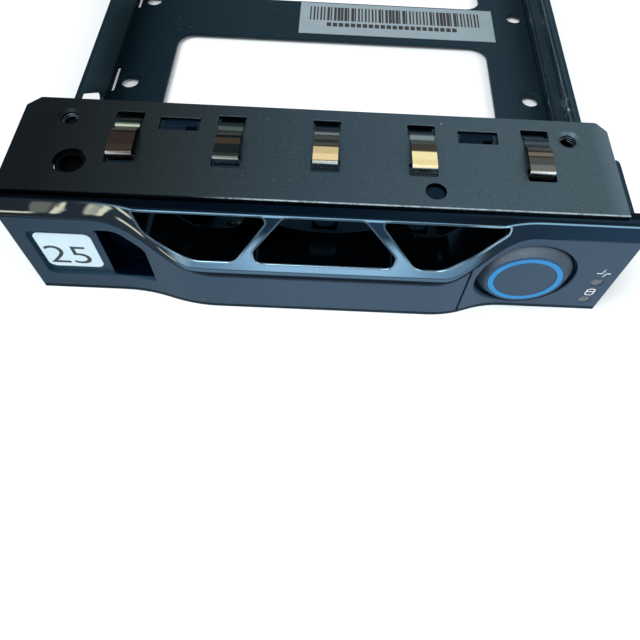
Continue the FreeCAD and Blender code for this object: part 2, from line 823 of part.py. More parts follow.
def finger_path():
    """Middle line of a finger, from its tail under the cover to its curled tip, as (y, z, radius)."""
    half = s.finger_sheet / 2
    tail = cover_under - half - 0.01
    skin = s.cover_top + half
    rear, tip = s.finger_rear_front, s.finger_front_back
    plateau = s.cover_top + s.finger_rise
    return [
        (s.finger_rear_back + 1.5, tail, 0), (rear + 0.45, tail, 0.35), (rear + 0.2, skin + 0.35, 0.25),
        (rear - 1.35, skin + 0.05, 0.3), (rear - 3.2, plateau - 0.1, 0.7), (tip - 1.75, plateau, 0.45),
        (tip - 1.45, cover_under + 0.2, 0.6), (tip - 1.1, cover_under - 0.2, 0),
    ]


def strip(corners, thickness):
    """Closed outline of a strip of even thickness that follows an open line of corners."""
    runs = [Vector(after[0] - before[0], after[1] - before[1], 0).normalize()
            for before, after in zip(corners, corners[1:])]
    sides = []
    for side in (thickness / 2, -thickness / 2):
        moved = []
        for (y, z, radius), arrive, leave in zip(corners, [runs[0], *runs], [*runs, runs[-1]]):
            normals = Vector(-arrive.y, arrive.x, 0), Vector(-leave.y, leave.x, 0)
            shift = (normals[0] + normals[1]) * (side / (1 + normals[0].dot(normals[1])))
            bend = -side if arrive.cross(leave).z > 0 else side
            moved.append((y + shift.x, z + shift.y, radius + bend if radius else 0))
        sides.append(moved)
    return sides[0] + sides[1][::-1]


def make_finger(number, x, turn):
    """Spring steel bent along the finger's line, turned a little about its tail."""
    body = new_body(f"finger_{number}")
    edges = outline(strip(finger_path(), s.finger_sheet))
    profile = sketch(body, f"finger_{number}_side", "YZ_Plane", edges, f"finger_{number}_x")
    pad(body, profile, "finger_width", middle=True)
    pivot = Vector(x, s.finger_rear_front, 0)
    body.Placement = Placement(Vector(), Rotation(Vector(0, 0, 1), turn), pivot)
    return finish(f"spring_finger_{number}", body)


# ---------- moulded front ----------

def make_front_stock():
    """Solids that the trim, the lever and the button panel are cut from."""
    stock = upright("front_stock", bulge_plan(s.front_stock_depth), "-1", "front_top")
    lean = s.bulge - s.slant_top
    drop = s.front_top - s.slant_bottom
    over = 3
    wedge_face = [
        (-s.slant_top + lean * over / drop, s.front_top + over, 0),
        (-s.bulge - 4, s.front_top + over, 0), (-s.bulge - 4, s.slant_bottom, 0),
        (-s.bulge, s.slant_bottom, 0),
    ]
    wedge = new_body("front_wedge")
    pad(wedge, sketch(wedge, "front_wedge_side", "YZ_Plane", outline(wedge_face)), "tray_width + 10",
        middle=True)
    return cut("front_shape", stock, wedge)


def make_trim(shape):
    skin = common("trim_skin", shape, facing("trim_face", above_wave(), "-bulge - 2", "trim_tongue"))
    core = upright("trim_core", bulge_plan(s.front_stock_depth, s.trim_wall), "0",
                   "front_top - trim_roof - 0.25")
    bay = box("trim_bay", ("-tray_width / 2 + trim_wall", "tray_width / 2 - trim_wall"),
              ("-bulge", "front_stock_depth"), ("0", "front_top"))
    hollow = common("trim_hollow", core, bay)
    step = box("trim_step", ("-tray_width / 2 - 1", "tray_width / 2 + 1"), ("cover_front - 0.1", "20"),
               ("cover_top - cover_sheet - 0.05", "cover_top + 1"))
    pieces = [cut("trim_shell", skin, hollow, step)]
    openings = []
    for index, corners in enumerate(vent_outlines()):
        collar = facing(f"vent_collar_{index}", offset(corners, s.vent_wall), "-bulge - 1", "vent_depth")
        middle = (min(c[0] for c in corners) + max(c[0] for c in corners)) / 2
        reach = (max(c[0] for c in corners) - min(c[0] for c in corners)) / 2
        curve = (reach ** 2 + s.vent_scoop ** 2) / (2 * s.vent_scoop)
        scoop = rod(f"vent_scoop_{index}", "z", curve, "0", "cover_top",
                    (middle, s.vent_depth - s.vent_scoop + curve))
        roof = box(f"vent_roof_{index}", ("-tray_width", "tray_width"), ("cover_front - 0.1", "20"),
                   ("cover_top - cover_sheet - 0.05", "cover_top + 5"))
        inside = common(f"vent_body_{index}", shape, collar)
        pieces.append(cut(f"vent_duct_{index}", inside, scoop, roof))
        openings.append(facing(f"vent_opening_{index}", corners, "-bulge - 2", "vent_depth + 3"))
    for side in ("left", "right"):
        pieces.append(rod(f"trim_{side}_boss", "y", "trim_boss_radius", "-bulge + trim_wall / 2",
                          "housing_front", (f"{side}_trim_screw_x", "trim_boss_height")))
        openings.append(rod(f"trim_{side}_hole", "y", "trim_screw_radius",
                            "housing_front - trim_screw_length - 0.5", "housing_front + 1",
                            (f"{side}_trim_screw_x", "trim_boss_height")))
    pieces.append(rod("trim_locator", "z", "locating_hole_radius - 0.15", "vent_top", "cover_top - 0.5",
                      ("locating_hole_x", "locating_hole_y")))
    return finish("vent_trim", cut("trim_open", fuse("trim_whole", *pieces), *openings))


def make_trim_screws():
    pieces = []
    for side in ("left", "right"):
        centre = (f"{side}_trim_screw_x", "trim_boss_height")
        seat = "housing_front + housing_wall"
        pieces.append(fuse(
            f"trim_{side}_screw",
            rod(f"trim_{side}_shank", "y", "trim_screw_radius", "housing_front - trim_screw_length", seat,
                centre),
            rod(f"trim_{side}_cap", "y", "trim_screw_head", seat, f"{seat} + trim_screw_cap", centre)))
    group = doc.addObject("Part::Compound", "trim_screw_group")
    group.Links = pieces
    return finish("trim_screws", group)


def grip_outline():
    return [
        (s.grip_left, s.grip_bottom + 0.4, 1), (s.grip_right, s.grip_bottom, 0.6),
        (s.grip_right, 14.4, 3), (-34.4, s.grip_top + 0.1, 3), (s.grip_left, s.grip_top, 0.6),
    ]


def make_lever(shape):
    bottom = "tray_sheet + front_floor_gap"
    end = "seam_x - seam_gap / 2"
    edge = below_wave(s.lever_gap)
    face = facing("lever_face", edge, "-bulge - 2", "lever_depth")
    reach = box("lever_reach", ("-tray_width / 2", end), ("-bulge - 2", "lever_depth"), (bottom, "cover_top"))
    block = common("lever_block", shape, face, reach)
    core = upright("lever_core", bulge_plan(s.front_stock_depth, s.lever_wall), "0", "cover_top")
    inner_face = facing("lever_inner_face", offset(edge, -s.lever_rib), "-bulge - 2", "lever_depth + 2")
    inner_reach = box("lever_inner_reach", ("-tray_width / 2 + lever_rib", f"{end} - lever_rib"),
                      ("-bulge", "front_stock_depth"), (f"{bottom} + lever_rib", "cover_top"))
    shell = cut("lever_shell", block, common("lever_hollow", core, inner_face, inner_reach))

    radius = s.pivot_boss_radius
    ear_plan = [
        (s.pivot_x - radius, s.lever_wall - 0.3, 0), (s.pivot_x + radius, s.lever_wall - 0.3, 0),
        (s.pivot_x + radius, s.pivot_y + radius, radius * 0.999),
        (s.pivot_x - radius, s.pivot_y + radius, radius * 0.999),
    ]
    top = "wave_left_top - lever_gap"
    pivot = ("pivot_x", "pivot_y")
    pieces = [
        shell,
        upright("lever_lower_ear", ear_plan, bottom, f"{bottom} + lever_rib"),
        upright("lever_upper_ear", ear_plan, f"{top} - lever_rib", top),
        rod("lever_lower_boss", "z", "pivot_boss_radius", bottom, "lower_boss_top", pivot),
        rod("lever_upper_boss", "z", "pivot_boss_radius", "upper_boss_bottom", top, pivot),
        box("lever_cheek", ("-tray_width / 2", "-tray_width / 2 + lever_rib"), ("lever_depth - 1", "pivot_y"),
            (bottom, top)),
        common("lever_grip_body", shape,
               facing("lever_grip_walls", offset(grip_outline(), s.grip_wall), "-bulge - 1",
                      "grip_depth + grip_wall")),
        box("lever_hook_stem", ("hook_left", "hook_left + hook_width"),
            ("lever_depth - 6", "hook_length"), ("hook_bottom", "hook_top")),
        box("lever_hook_barb", ("hook_left", "hook_left + hook_barb"),
            ("hook_length - hook_barb_length", "hook_length"), ("hook_bottom", "hook_top")),
    ]
    bore_gap = "pivot_radius + pivot_running_gap"
    tools = [
        rod("lever_bore", "z", bore_gap, "0", "cover_top", pivot),
        facing("lever_grip", grip_outline(), "-bulge - 2", "grip_depth"),
        facing("lever_recess",
               rectangle(s.recess_left, s.recess_bottom, s.grip_left + 1.5, s.recess_top, s.recess_corner),
               "-1", "recess_depth"),
    ]
    return finish("handle_lever", cut("lever_cut", fuse("lever_whole", *pieces), *tools))


def make_number_label():
    corners = rectangle(s.number_left, s.number_bottom, s.number_left + s.number_size,
                        s.number_bottom + s.number_size, s.number_corner)
    return finish("number_label", facing("number", corners, "recess_depth - label_thickness", "recess_depth"))


def make_pivot_pin():
    tenon, radius, head = s.pivot_tenon_radius, s.pivot_radius, s.pivot_hole_radius - 0.1
    crown = s.cover_top - s.pivot_head_sink
    under_head = crown - s.pivot_head
    socket = s.pivot_socket_radius
    floor = crown - s.pivot_socket_depth
    corners = [(0, 0, 0), (tenon, 0, 0), (tenon, floor_top, 0), (radius, floor_top, 0),
               (radius, under_head, 0), (head, under_head, 0), (head, crown, 0), (socket, crown, 0),
               (socket, floor, 0), (0, floor, 0)]
    body = new_body("pivot_pin")
    profile = sketch(body, "pivot_pin_half", "XZ_Plane", outline(corners))
    revolve(body, profile, "V_Axis")
    body.Placement = Placement(Vector(s.pivot_x, s.pivot_y, 0), Rotation())
    bind(body, {"Placement.Base.x": "pivot_x", "Placement.Base.y": "pivot_y"})
    return finish("lever_pivot_pin", body)


# ---------- button, latch and springs ----------

def make_button():
    face, skirt, wall = s.button_face_radius, s.button_skirt_radius, s.button_wall
    front = -s.button_proud
    shoulder = front + s.button_cone
    inside = front + wall
    corners = [
        (0, front, 0), (s.ring_inner, front, 0), (s.ring_inner, front + s.ring_depth, 0),
        (s.ring_outer, front + s.ring_depth, 0), (s.ring_outer, front, 0), (face, front, 0.25),
        (skirt, shoulder, 0), (skirt, s.button_skirt_end, 0), (skirt - wall, s.button_skirt_end, 0),
        (skirt - wall, inside, 0), (s.button_post_radius, inside, 0),
        (s.button_post_radius, s.button_post_end, 0), (0, s.button_post_end, 0),
    ]
    body = new_body("button")
    profile = sketch(body, "button_half", "XY_Plane", outline(corners))
    revolve(body, profile, "V_Axis")
    bind(body, {"Placement.Base.x": "button_x", "Placement.Base.z": "button_z"})
    lug_span = "button_skirt_radius + button_lug"
    lugs = box("button_lugs", (f"button_x - {lug_span}", f"button_x + {lug_span}"),
               ("button_skirt_end", "button_skirt_end + button_lug_thickness"),
               ("button_z - button_lug_width / 2", "button_z + button_lug_width / 2"))
    spring_room = rod("button_spring_room", "y", "button_skirt_radius - button_wall", "0",
                      "button_skirt_end + 3", ("button_x", "button_z"))
    cam_plan = [(s.cam_left, s.button_skirt_end - 1.4, 0), (s.cam_right, s.button_skirt_end - 1.4, 0),
                (s.cam_right, s.cam_end - s.cam_slope, 0), (s.cam_right - s.cam_slope, s.cam_end, 0),
                (s.cam_left, s.cam_end, 0)]
    lug_ring = cut("button_lug_ring", lugs, spring_room)
    cam = upright("button_cam", cam_plan, "cam_bottom", "hook_top")
    return finish("release_button", fuse("button_whole", body, lug_ring, cam))


def make_ring():
    corners = rectangle(s.ring_inner, -s.button_proud - 0.05, s.ring_outer, -s.button_proud + s.ring_depth)
    body = new_body("ring")
    profile = sketch(body, "ring_half", "XY_Plane", outline(corners))
    revolve(body, profile, "V_Axis")
    bind(body, {"Placement.Base.x": "button_x", "Placement.Base.z": "button_z"})
    return finish("button_ring", body)


def make_slider():
    bottom = s.tray_sheet + s.housing_floor + s.slide_gap
    top = bottom + s.slide_height
    gap = s.button_running_gap
    ramp = s.cam_right + s.cam_end - s.cam_slope + gap
    plan = [
        (s.slide_left, s.slide_front, 0.3), (s.cam_left - s.button_travel - gap, s.slide_front, 0),
        (s.cam_left - s.button_travel - gap, s.cam_end + s.button_travel + gap, 0.3),
        (ramp - s.cam_end - s.button_travel - gap, s.cam_end + s.button_travel + gap, 0.3),
        (ramp - s.slide_front, s.slide_front, 0), (s.slide_right, s.slide_front, 0.3),
        (s.slide_right, s.slide_rear, 0.3), (s.slide_left, s.slide_rear, 0.3),
    ]
    bar = upright("slider_bar", plan, str(bottom), str(top))
    post = rod("slider_post", "x", "latch_spring_radius - latch_spring_wire - 0.1", "slide_right - 0.5",
               "slide_right + 1.6", ("latch_spring_y", str((bottom + top) / 2)))
    return finish("latch_slider", fuse("slider_whole", bar, post))


def make_springs():
    seat = s.seat_front
    start = -s.button_proud + s.button_wall
    wire = s.button_spring_wire
    finish("button_spring", coil("button_coil", s.button_spring_radius, wire, s.button_spring_turns,
                                 start + wire, seat - wire,
                                 Placement(Vector(s.button_x, 0, s.button_z), turns["y"])))
    wire = s.latch_spring_wire
    height = s.tray_sheet + s.housing_floor + s.slide_gap + s.slide_height / 2
    finish("latch_spring", coil("latch_coil", s.latch_spring_radius, wire, s.latch_spring_turns,
                                s.slide_right + wire, s.latch_stop - wire,
                                Placement(Vector(0, s.latch_spring_y, height), turns["x"])))
    wire, radius = s.lever_spring_wire, s.lever_spring_radius
    low, high = s.lever_spring_bottom, s.lever_spring_top
    to_cheek = s.lever_rib + 0.1 - half_width - s.pivot_x
    to_wall = s.housing_left - 0.1 - s.pivot_x
    cheek_leg = (Vector(radius, 0, low), Vector(radius, to_cheek, low))
    wall_leg = (Vector(0, radius, high), Vector(0, to_wall, high))
    finish("lever_spring", coil("lever_coil", radius, wire, s.lever_spring_turns, low, high,
                                Placement(Vector(s.pivot_x, s.pivot_y, 0), Rotation(Vector(0, 0, 1), -90)),
                                [cheek_leg, wall_leg]))


# ---------- housing ----------

def make_housing(shape):
    floor = ("tray_sheet", "tray_sheet + housing_floor")
    depth = ("housing_front", "housing_rear")
    wall = "housing_wall"
    centre = ("button_x", "button_z")
    panel_reach = box("panel_reach", ("seam_x + seam_gap / 2", "tray_width / 2"), ("-bulge - 2", "6"),
                      ("tray_sheet + front_floor_gap", "cover_top"))
    panel_face = facing("panel_face", below_wave(s.trim_joint), "-bulge - 2", "6")
    panel_core = upright("panel_core", bulge_plan(s.front_stock_depth, s.panel_wall), "-1", "cover_top")
    panel = cut("panel", common("panel_block", shape, panel_face, panel_reach), panel_core)
    tube = rod("button_tube", "y", "button_skirt_radius + button_running_gap + button_tube_wall",
               "-bulge", "button_tube_end", centre)
    tube_part = common("button_tube_part", shape, tube, box(
        "tube_reach", ("seam_x + seam_gap / 2", "housing_right + 3"), ("-bulge", "button_tube_end"),
        ("tray_sheet + front_floor_gap", "cover_top")))
    side = ("tray_sheet", "housing_side_top")
    pieces = [
        panel,
        tube_part,
        box("housing_floor_plate", ("housing_left", "housing_right"), depth, floor),
        box("housing_bulkhead", ("housing_left", "seam_x"), ("housing_front", f"housing_front + {wall}"),
            ("tray_sheet", "housing_bulkhead_top")),
        box("housing_left_wall", ("housing_left", f"housing_left + {wall}"),
            ("vent_depth + 0.3", "housing_rear"), side),
        box("housing_left_foot", ("housing_left", f"housing_left + {wall}"), depth,
            ("tray_sheet", "housing_bulkhead_top")),
        box("housing_right_wall", ("duct_right", f"duct_right + {wall}"), ("button_tube_end - 0.5", "15"),
            ("tray_sheet", "wave_bottom")),
        box("housing_seat", ("seat_left", "seat_right"), ("seat_front", "seat_front + seat_wall"),
            ("tray_sheet", "seat_top")),
        rod("housing_seat_post", "y", "button_post_radius", "seat_front - 2.5", "seat_front", centre),
        box("housing_latch_stop", ("latch_stop", "latch_stop + housing_wall"),
            ("latch_spring_y - 1.8", "latch_spring_y + 1.8"), ("tray_sheet", "hook_top + 1.4")),
        box("housing_panel_tie", ("led_x - 3.4", "led_x - 2.2"), ("panel_wall - 0.4", "housing_front + 1"),
            ("tray_sheet + front_floor_gap", "tray_sheet + 5")),
    ]
    for name in ("left", "right"):
        x = f"{name}_snap_x"
        span = (f"{x} - snap_post_width / 2", f"{x} + snap_post_width / 2")
        pieces.append(box(f"snap_{name}_post", span,
                          ("snap_slot_rear - 0.1 - snap_post_thickness", "snap_slot_rear - 0.1"),
                          ("tray_sheet", "cover_top - snap_post_sink")))
        pieces.append(box(f"snap_{name}_nose", (f"{x} - snap_post_width / 2", f"{x} + 1"),
                          ("snap_slot_front + 0.5", "snap_slot_rear - 1"),
                          ("cover_top - cover_sheet - 0.4", "cover_top - snap_post_sink - 0.1")))
    for index, (x, y) in enumerate(housing_screw_places):
        pieces.append(rod(f"screw_boss_{index}", "z", "screw_boss_radius", "tray_sheet",
                          "screw_length + 1", (x, y)))
    bore = "button_skirt_radius + button_running_gap"
    tools = [
        rod("button_bore", "y", bore, "-bulge - 2", "button_tube_end + 1", centre),
        rod("button_recess_cut", "y", "button_recess_radius", "-bulge - 2", "button_recess", centre),
        box("hook_window", ("hook_left - 1", "hook_left + hook_barb + 1"),
            ("housing_front - 1", "housing_front + housing_wall + 1"),
            ("hook_bottom - 0.3", "hook_top + 0.6")),
        box("slider_window", ("slide_left - 1", "cam_left"), ("slide_front - 0.4", "slide_rear + 0.4"),
            ("tray_sheet + housing_floor", "tray_sheet + housing_floor + slide_gap * 2 + slide_height")),
    ]
    for name in ("upper", "lower"):
        tools.append(rod(f"{name}_led_hole", "y", "led_radius + led_gap", "-bulge", "6",
                         ("led_x", f"{name}_led_z")))
    for name in ("left", "right"):
        tools.append(rod(f"{name}_trim_hole", "y", "trim_screw_radius", "housing_front - 1",
                         "housing_front + 4", (f"{name}_trim_screw_x", "trim_boss_height")))
    for index, (x, y) in enumerate(housing_screw_places):
        tools.append(rod(f"screw_hole_{index}", "z", "screw_radius", "0", "screw_length", (x, y)))
    return finish("bezel_housing", cut("housing_cut", fuse("housing_whole", *pieces), *tools))


def make_housing_screws():
    pieces = []
    for index, (x, y) in enumerate(housing_screw_places):
        head = cone(f"screw_head_{index}", "screw_head_radius", "screw_radius", "0", "tray_sheet", (x, y))
        shank = rod(f"screw_shank_{index}", "z", "screw_radius", "tray_sheet", "screw_length", (x, y))
        pieces.append(fuse(f"screw_{index}", head, shank))
    group = doc.addObject("Part::Compound", "screw_group")
    group.Links = pieces
    return finish("housing_screws", group)


# ---------- light pipes and labels ----------

def make_pipe(name, strip_bottom):
    led_z = f"{name}_led_z"
    wall = half_width - s.tray_sheet - s.pipe_wall_gap
    strip = wall - s.pipe_strip
    left, right = s.led_x - s.pipe_width / 2, s.led_x + s.pipe_width / 2
    plan_head = [(left, s.panel_wall + 0.4, 0), (right, s.panel_wall + 0.4, 0),
                 (right, s.pipe_jog_start, 1.5), (wall, s.pipe_jog_end, 1.5),
                 (wall, s.pipe_jog_end + 6, 0), (strip, s.pipe_jog_end + 6, 0),
                 (strip, s.pipe_jog_end, 1.5), (left, s.pipe_jog_start, 1.5)]
    half = "pipe_width / 2"
    pieces = [
        rod(f"{name}_pipe_nose", "y", "led_radius", "led_sink", "panel_wall + 1", ("led_x", led_z)),
        upright(f"{name}_pipe_head", plan_head, f"{led_z} - {half}", f"{led_z} + {half}"),
        box(f"{name}_pipe_strip", (str(strip), str(wall)), ("pipe_jog_end", "pipe_end"),
            (strip_bottom, f"{strip_bottom} + pipe_strip_height")),
    ]
    ear = pipe_ear_heights()[0 if name == "lower" else 1]
    for index, y in enumerate(pipe_ear_places):
        pieces.append(box(f"{name}_pipe_ear_{index}", (str(wall - 0.1), "tray_width / 2 - 0.1"),
                          (y - 1.3, y + 1.3), (ear + 0.1, ear + 0.9)))
    return finish(f"light_pipe_{name}", fuse(f"{name}_pipe_whole", *pieces))


def make_tray_label():
    middle = ("front_window_end + bar_label_margin", "rear_window_start - 0.5")
    return finish("tray_label", box("bar_label", ("bar_label_left", "bar_label_right"), middle,
                                    ("tray_step + tray_sheet", "tray_step + tray_sheet + label_thickness")))


# ---------- build, check and write ----------

make_tray()
make_cover()
make_rivets()
for place, finger_x in enumerate(finger_places, 1):
    make_finger(place, finger_x, finger_turns[place - 1])
front = make_front_stock()
make_trim(front)
make_trim_screws()
make_lever(front)
make_number_label()
make_pivot_pin()
make_button()
make_ring()
make_slider()
make_springs()
make_housing(front)
make_housing_screws()
make_pipe("upper", "upper_strip_bottom")
make_pipe("lower", "lower_led_z - pipe_width / 2")
make_tray_label()
doc.recompute()

for obj in doc.Objects:
    if {"Invalid", "Error"} & set(obj.State):
        raise RuntimeError(f"{obj.Name} did not build: {obj.State}")
os.makedirs("parts", exist_ok=True)
for node, obj in finished.items():
    if obj.Shape.isNull() or not obj.Shape.isValid():
        raise RuntimeError(f"{node} has no valid shape")
    obj.Shape.exportStep(f"parts/{node}.step")
    print(f"{node}: {len(obj.Shape.Solids)} solid(s), {obj.Shape.Volume:.1f} mm3")
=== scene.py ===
import json
import math

import bmesh
import bpy
from mathutils import Matrix, Vector


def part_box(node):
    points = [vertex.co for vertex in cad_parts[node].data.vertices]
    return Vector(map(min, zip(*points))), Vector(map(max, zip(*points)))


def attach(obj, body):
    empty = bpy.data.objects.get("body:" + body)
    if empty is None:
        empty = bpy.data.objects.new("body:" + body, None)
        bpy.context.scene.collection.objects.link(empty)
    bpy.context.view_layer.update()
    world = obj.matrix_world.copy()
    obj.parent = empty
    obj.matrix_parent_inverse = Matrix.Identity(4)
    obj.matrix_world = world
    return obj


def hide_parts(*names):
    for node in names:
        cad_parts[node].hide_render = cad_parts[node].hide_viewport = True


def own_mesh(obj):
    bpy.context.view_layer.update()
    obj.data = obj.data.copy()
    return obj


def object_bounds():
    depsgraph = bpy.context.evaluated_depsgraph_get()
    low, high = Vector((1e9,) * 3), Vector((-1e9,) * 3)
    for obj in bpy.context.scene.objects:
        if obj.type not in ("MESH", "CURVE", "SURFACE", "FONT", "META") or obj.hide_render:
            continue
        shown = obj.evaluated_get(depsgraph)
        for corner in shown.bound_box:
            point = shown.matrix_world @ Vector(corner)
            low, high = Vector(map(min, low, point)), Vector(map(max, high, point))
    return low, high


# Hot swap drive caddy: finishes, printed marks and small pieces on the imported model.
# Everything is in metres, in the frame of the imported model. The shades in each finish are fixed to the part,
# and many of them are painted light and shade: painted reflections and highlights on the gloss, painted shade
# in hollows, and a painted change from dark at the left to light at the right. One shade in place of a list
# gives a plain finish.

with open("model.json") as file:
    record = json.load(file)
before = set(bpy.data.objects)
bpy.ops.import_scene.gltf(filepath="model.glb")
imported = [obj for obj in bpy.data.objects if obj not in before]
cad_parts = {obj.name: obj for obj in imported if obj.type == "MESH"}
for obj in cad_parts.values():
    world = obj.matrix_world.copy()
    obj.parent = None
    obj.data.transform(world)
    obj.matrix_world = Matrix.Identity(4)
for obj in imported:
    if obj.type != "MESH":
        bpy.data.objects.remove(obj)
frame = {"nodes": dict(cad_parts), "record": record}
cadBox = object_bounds()
nodes = frame["nodes"]
mm = 0.001
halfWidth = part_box("tray_base")[1].x
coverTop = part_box("head_cover")[1].z
print("frame loaded:", len(nodes), "nodes")


class Value:
    # one socket of a node tree; Python's operators on it become Math nodes
    def __init__(self, graph, socket):
        self.graph = graph
        self.socket = socket

    def maths(self, operation, first, second, clamp=False):
        settings = {"operation": operation, "use_clamp": clamp}
        return self.graph.node("ShaderNodeMath", settings, {0: first, 1: second})

    def __add__(self, other):
        return self.maths("ADD", self, other)

    def __radd__(self, other):
        return self.maths("ADD", other, self)

    def __sub__(self, other):
        return self.maths("SUBTRACT", self, other)

    def __rsub__(self, other):
        return self.maths("SUBTRACT", other, self)

    def __mul__(self, other):
        return self.maths("MULTIPLY", self, other)

    def __rmul__(self, other):
        return self.maths("MULTIPLY", other, self)

    def __pow__(self, other):
        return self.maths("POWER", self, other)

    def __lt__(self, other):
        return self.maths("LESS_THAN", self, other)

    def bounded(self):
        return self.maths("ADD", self, 0, clamp=True)


class Graph:
    # the nodes of one material, or of the world
    def __init__(self, tree):
        self.tree = tree

    def node(self, kind, settings=None, inputs=None, output=0):
        made = self.tree.nodes.new(kind)
        for key, value in (settings or {}).items():
            if key == "stops":
                self.fillRamp(made.color_ramp, value)
            else:
                setattr(made, key, value)
        for key, value in (inputs or {}).items():
            self.feed(made.inputs[key], value)
        return Value(self, made.outputs[output])

    def fillRamp(self, ramp, stops):
        while len(ramp.elements) < len(stops):
            ramp.elements.new(0.5)
        for element, (position, shade) in zip(ramp.elements, stops):
            element.position = position
            element.color = shade

    def feed(self, socket, value):
        if isinstance(value, Value):
            self.tree.links.new(value.socket, socket)
        else:
            socket.default_value = value

    def seenRay(self):
        # 1 for what the camera sees, directly, mirrored or through clear plastic
        kinds = ("Is Camera Ray", "Is Glossy Ray", "Is Transmission Ray")
        camera, mirrored, through = (self.node("ShaderNodeLightPath", output=kind) for kind in kinds)
        return (camera + mirrored + through).bounded()


class Finish(Graph):
    # a procedural material on Object coordinates
    def __init__(self, name, **constants):
        self.material = bpy.data.materials.new(name)
        self.material.use_nodes = True
        super().__init__(self.material.node_tree)
        self.shader = self.tree.nodes["Principled BSDF"]
        self.place = self.node("ShaderNodeTexCoord", output="Object")
        for socket, value in constants.items():
            self.set(socket.replace("_", " "), value)

    def set(self, name, value):
        self.feed(self.shader.inputs[name], value)

    def scaled(self, x, y, z, turn=0):
        settings = {"Scale": (x, y, z), "Rotation": (0, 0, math.radians(turn))}
        return self.node("ShaderNodeMapping", None, {"Vector": self.place, **settings})

    def axis(self, letter):
        return self.node("ShaderNodeSeparateXYZ", None, {0: self.place}, output=letter)

    def facing(self, letter):
        # how far the surface itself looks along an axis
        normal = self.node("ShaderNodeTexCoord", output="Normal")
        return self.node("ShaderNodeSeparateXYZ", None, {0: normal}, output=letter)

    def noise(self, grain, detail, roughness=0.5, place=None, twist=0):
        inputs = {"Vector": place or self.place, "Scale": 1 / grain, "Detail": detail, "Roughness": roughness,
                  "Distortion": twist}
        return self.node("ShaderNodeTexNoise", {"noise_dimensions": "3D"}, inputs, output="Fac")

    def specks(self, spacing, size):
        inputs = {"Vector": self.place, "Scale": 1 / spacing}
        distance = self.node("ShaderNodeTexVoronoi", {"feature": "F1"}, inputs, output="Distance")
        return distance < size

    def ramp(self, value, stops):
        return self.node("ShaderNodeValToRGB", {"stops": stops}, {0: value}, output="Color")

    def mix(self, factor, first, second):
        # the first colour where the factor is 0, the second where it is 1
        return self.node("ShaderNodeMix", {"data_type": "RGBA"}, {0: factor, 6: first, 7: second}, output=2)

    def between(self, value, low, high):
        # rises softly from 0 to 1 between low and high, or falls where high is the lower number
        settings = {"interpolation_type": "SMOOTHSTEP"}
        inputs = {"Value": value, "From Min": low, "From Max": high}
        return self.node("ShaderNodeMapRange", settings, inputs, output="Result")

    def within(self, value, low, high, soft):
        return self.between(value, low - soft, low + soft) * self.between(value, high + soft, high - soft)

    def across(self, shades):
        # shades from the left side of the part to the right one, used for painted light and shade that change
        # across the part
        share = (self.axis("X") + halfWidth) * (0.5 / halfWidth)
        return self.ramp(share, painted(shades))

    def bump(self, height, strength, distance, edge=0):
        inputs = {"Height": height, "Strength": strength, "Distance": distance}
        if edge:
            inputs["Normal"] = self.rounded(edge)
        self.set("Normal", self.node("ShaderNodeBump", None, inputs, output="Normal"))

    def rounded(self, edge):
        # the surface's direction, turned round its edges as if they were rounded
        return self.node("ShaderNodeBevel", {"samples": 6}, {"Radius": edge})


def paint(code):
    # a web colour such as #10212a, as the linear colour that a shader reads
    parts = [int(code[i:i + 2], 16) / 255 for i in (1, 3, 5)]
    return tuple(c / 12.92 if c <= 0.04045 else ((c + 0.055) / 1.055) ** 2.4 for c in parts) + (1,)


def painted(shades):
    return [(place, paint(shade)) for place, shade in shades]


# steel of the tray and its cover; the shades run from the left side of the part to the right one, as painted
# shade at the left and painted light at the right

sheetSteel = {"Metallic": 0.9, "Specular_IOR_Level": 0.24, "Specular_Tint": (0.56, 0.62, 0.66, 1)}

trayLook = {
    "floor": [(0.08, "#10212a"), (0.3, "#1b2b33"), (0.92, "#23353f")],
    "litInnerWalls": [(0.05, "#3b545d"), (0.95, "#506570")],
    "wallFoot": (2.2 * mm, 3.4 * mm),
    "scratch": "#56666e", "dust": "#8d9ba2",
    "roughness": 0.4, "edgeRound": 0.12 * mm,
}


def traySteel():
    look = trayLook
    finish = Finish("TraySteel", **sheetSteel)
    cloud = finish.noise(22 * mm, 5, 0.6)
    grain = finish.noise(0.35 * mm, 2, 0.7)
    scratch = finish.between(finish.noise(1.2 * mm, 6, 0.75, finish.scaled(1, 0.02, 1, 38)), 0.64, 0.76)
    cross = finish.between(finish.noise(1.6 * mm, 5, 0.8, finish.scaled(1, 0.03, 1, -61)), 0.66, 0.76)
    dust = finish.specks(2.6 * mm, 0.05) * finish.between(cloud, 0.45, 0.6)
    # the inner faces of the walls are painted lighter than the floor and the outer faces, as painted light
    raised = finish.between(finish.axis("Z"), *look["wallFoot"])
    inward = finish.axis("X") * finish.facing("X") < -0.5 * halfWidth
    base = finish.mix(raised * inward, finish.across(look["floor"]), finish.across(look["litInnerWalls"]))
    marked = finish.mix((scratch * 0.3 + cross * 0.2).bounded(), base, paint(look["scratch"]))
    finish.set("Base Color", finish.mix(dust * 0.5, marked, paint(look["dust"])))
    finish.set("Roughness", look["roughness"] + cloud * 0.12 - scratch * 0.08)
    finish.bump(grain * 0.5 + scratch * 0.5, 0.12, 0.02 * mm, look["edgeRound"])
    return finish.material


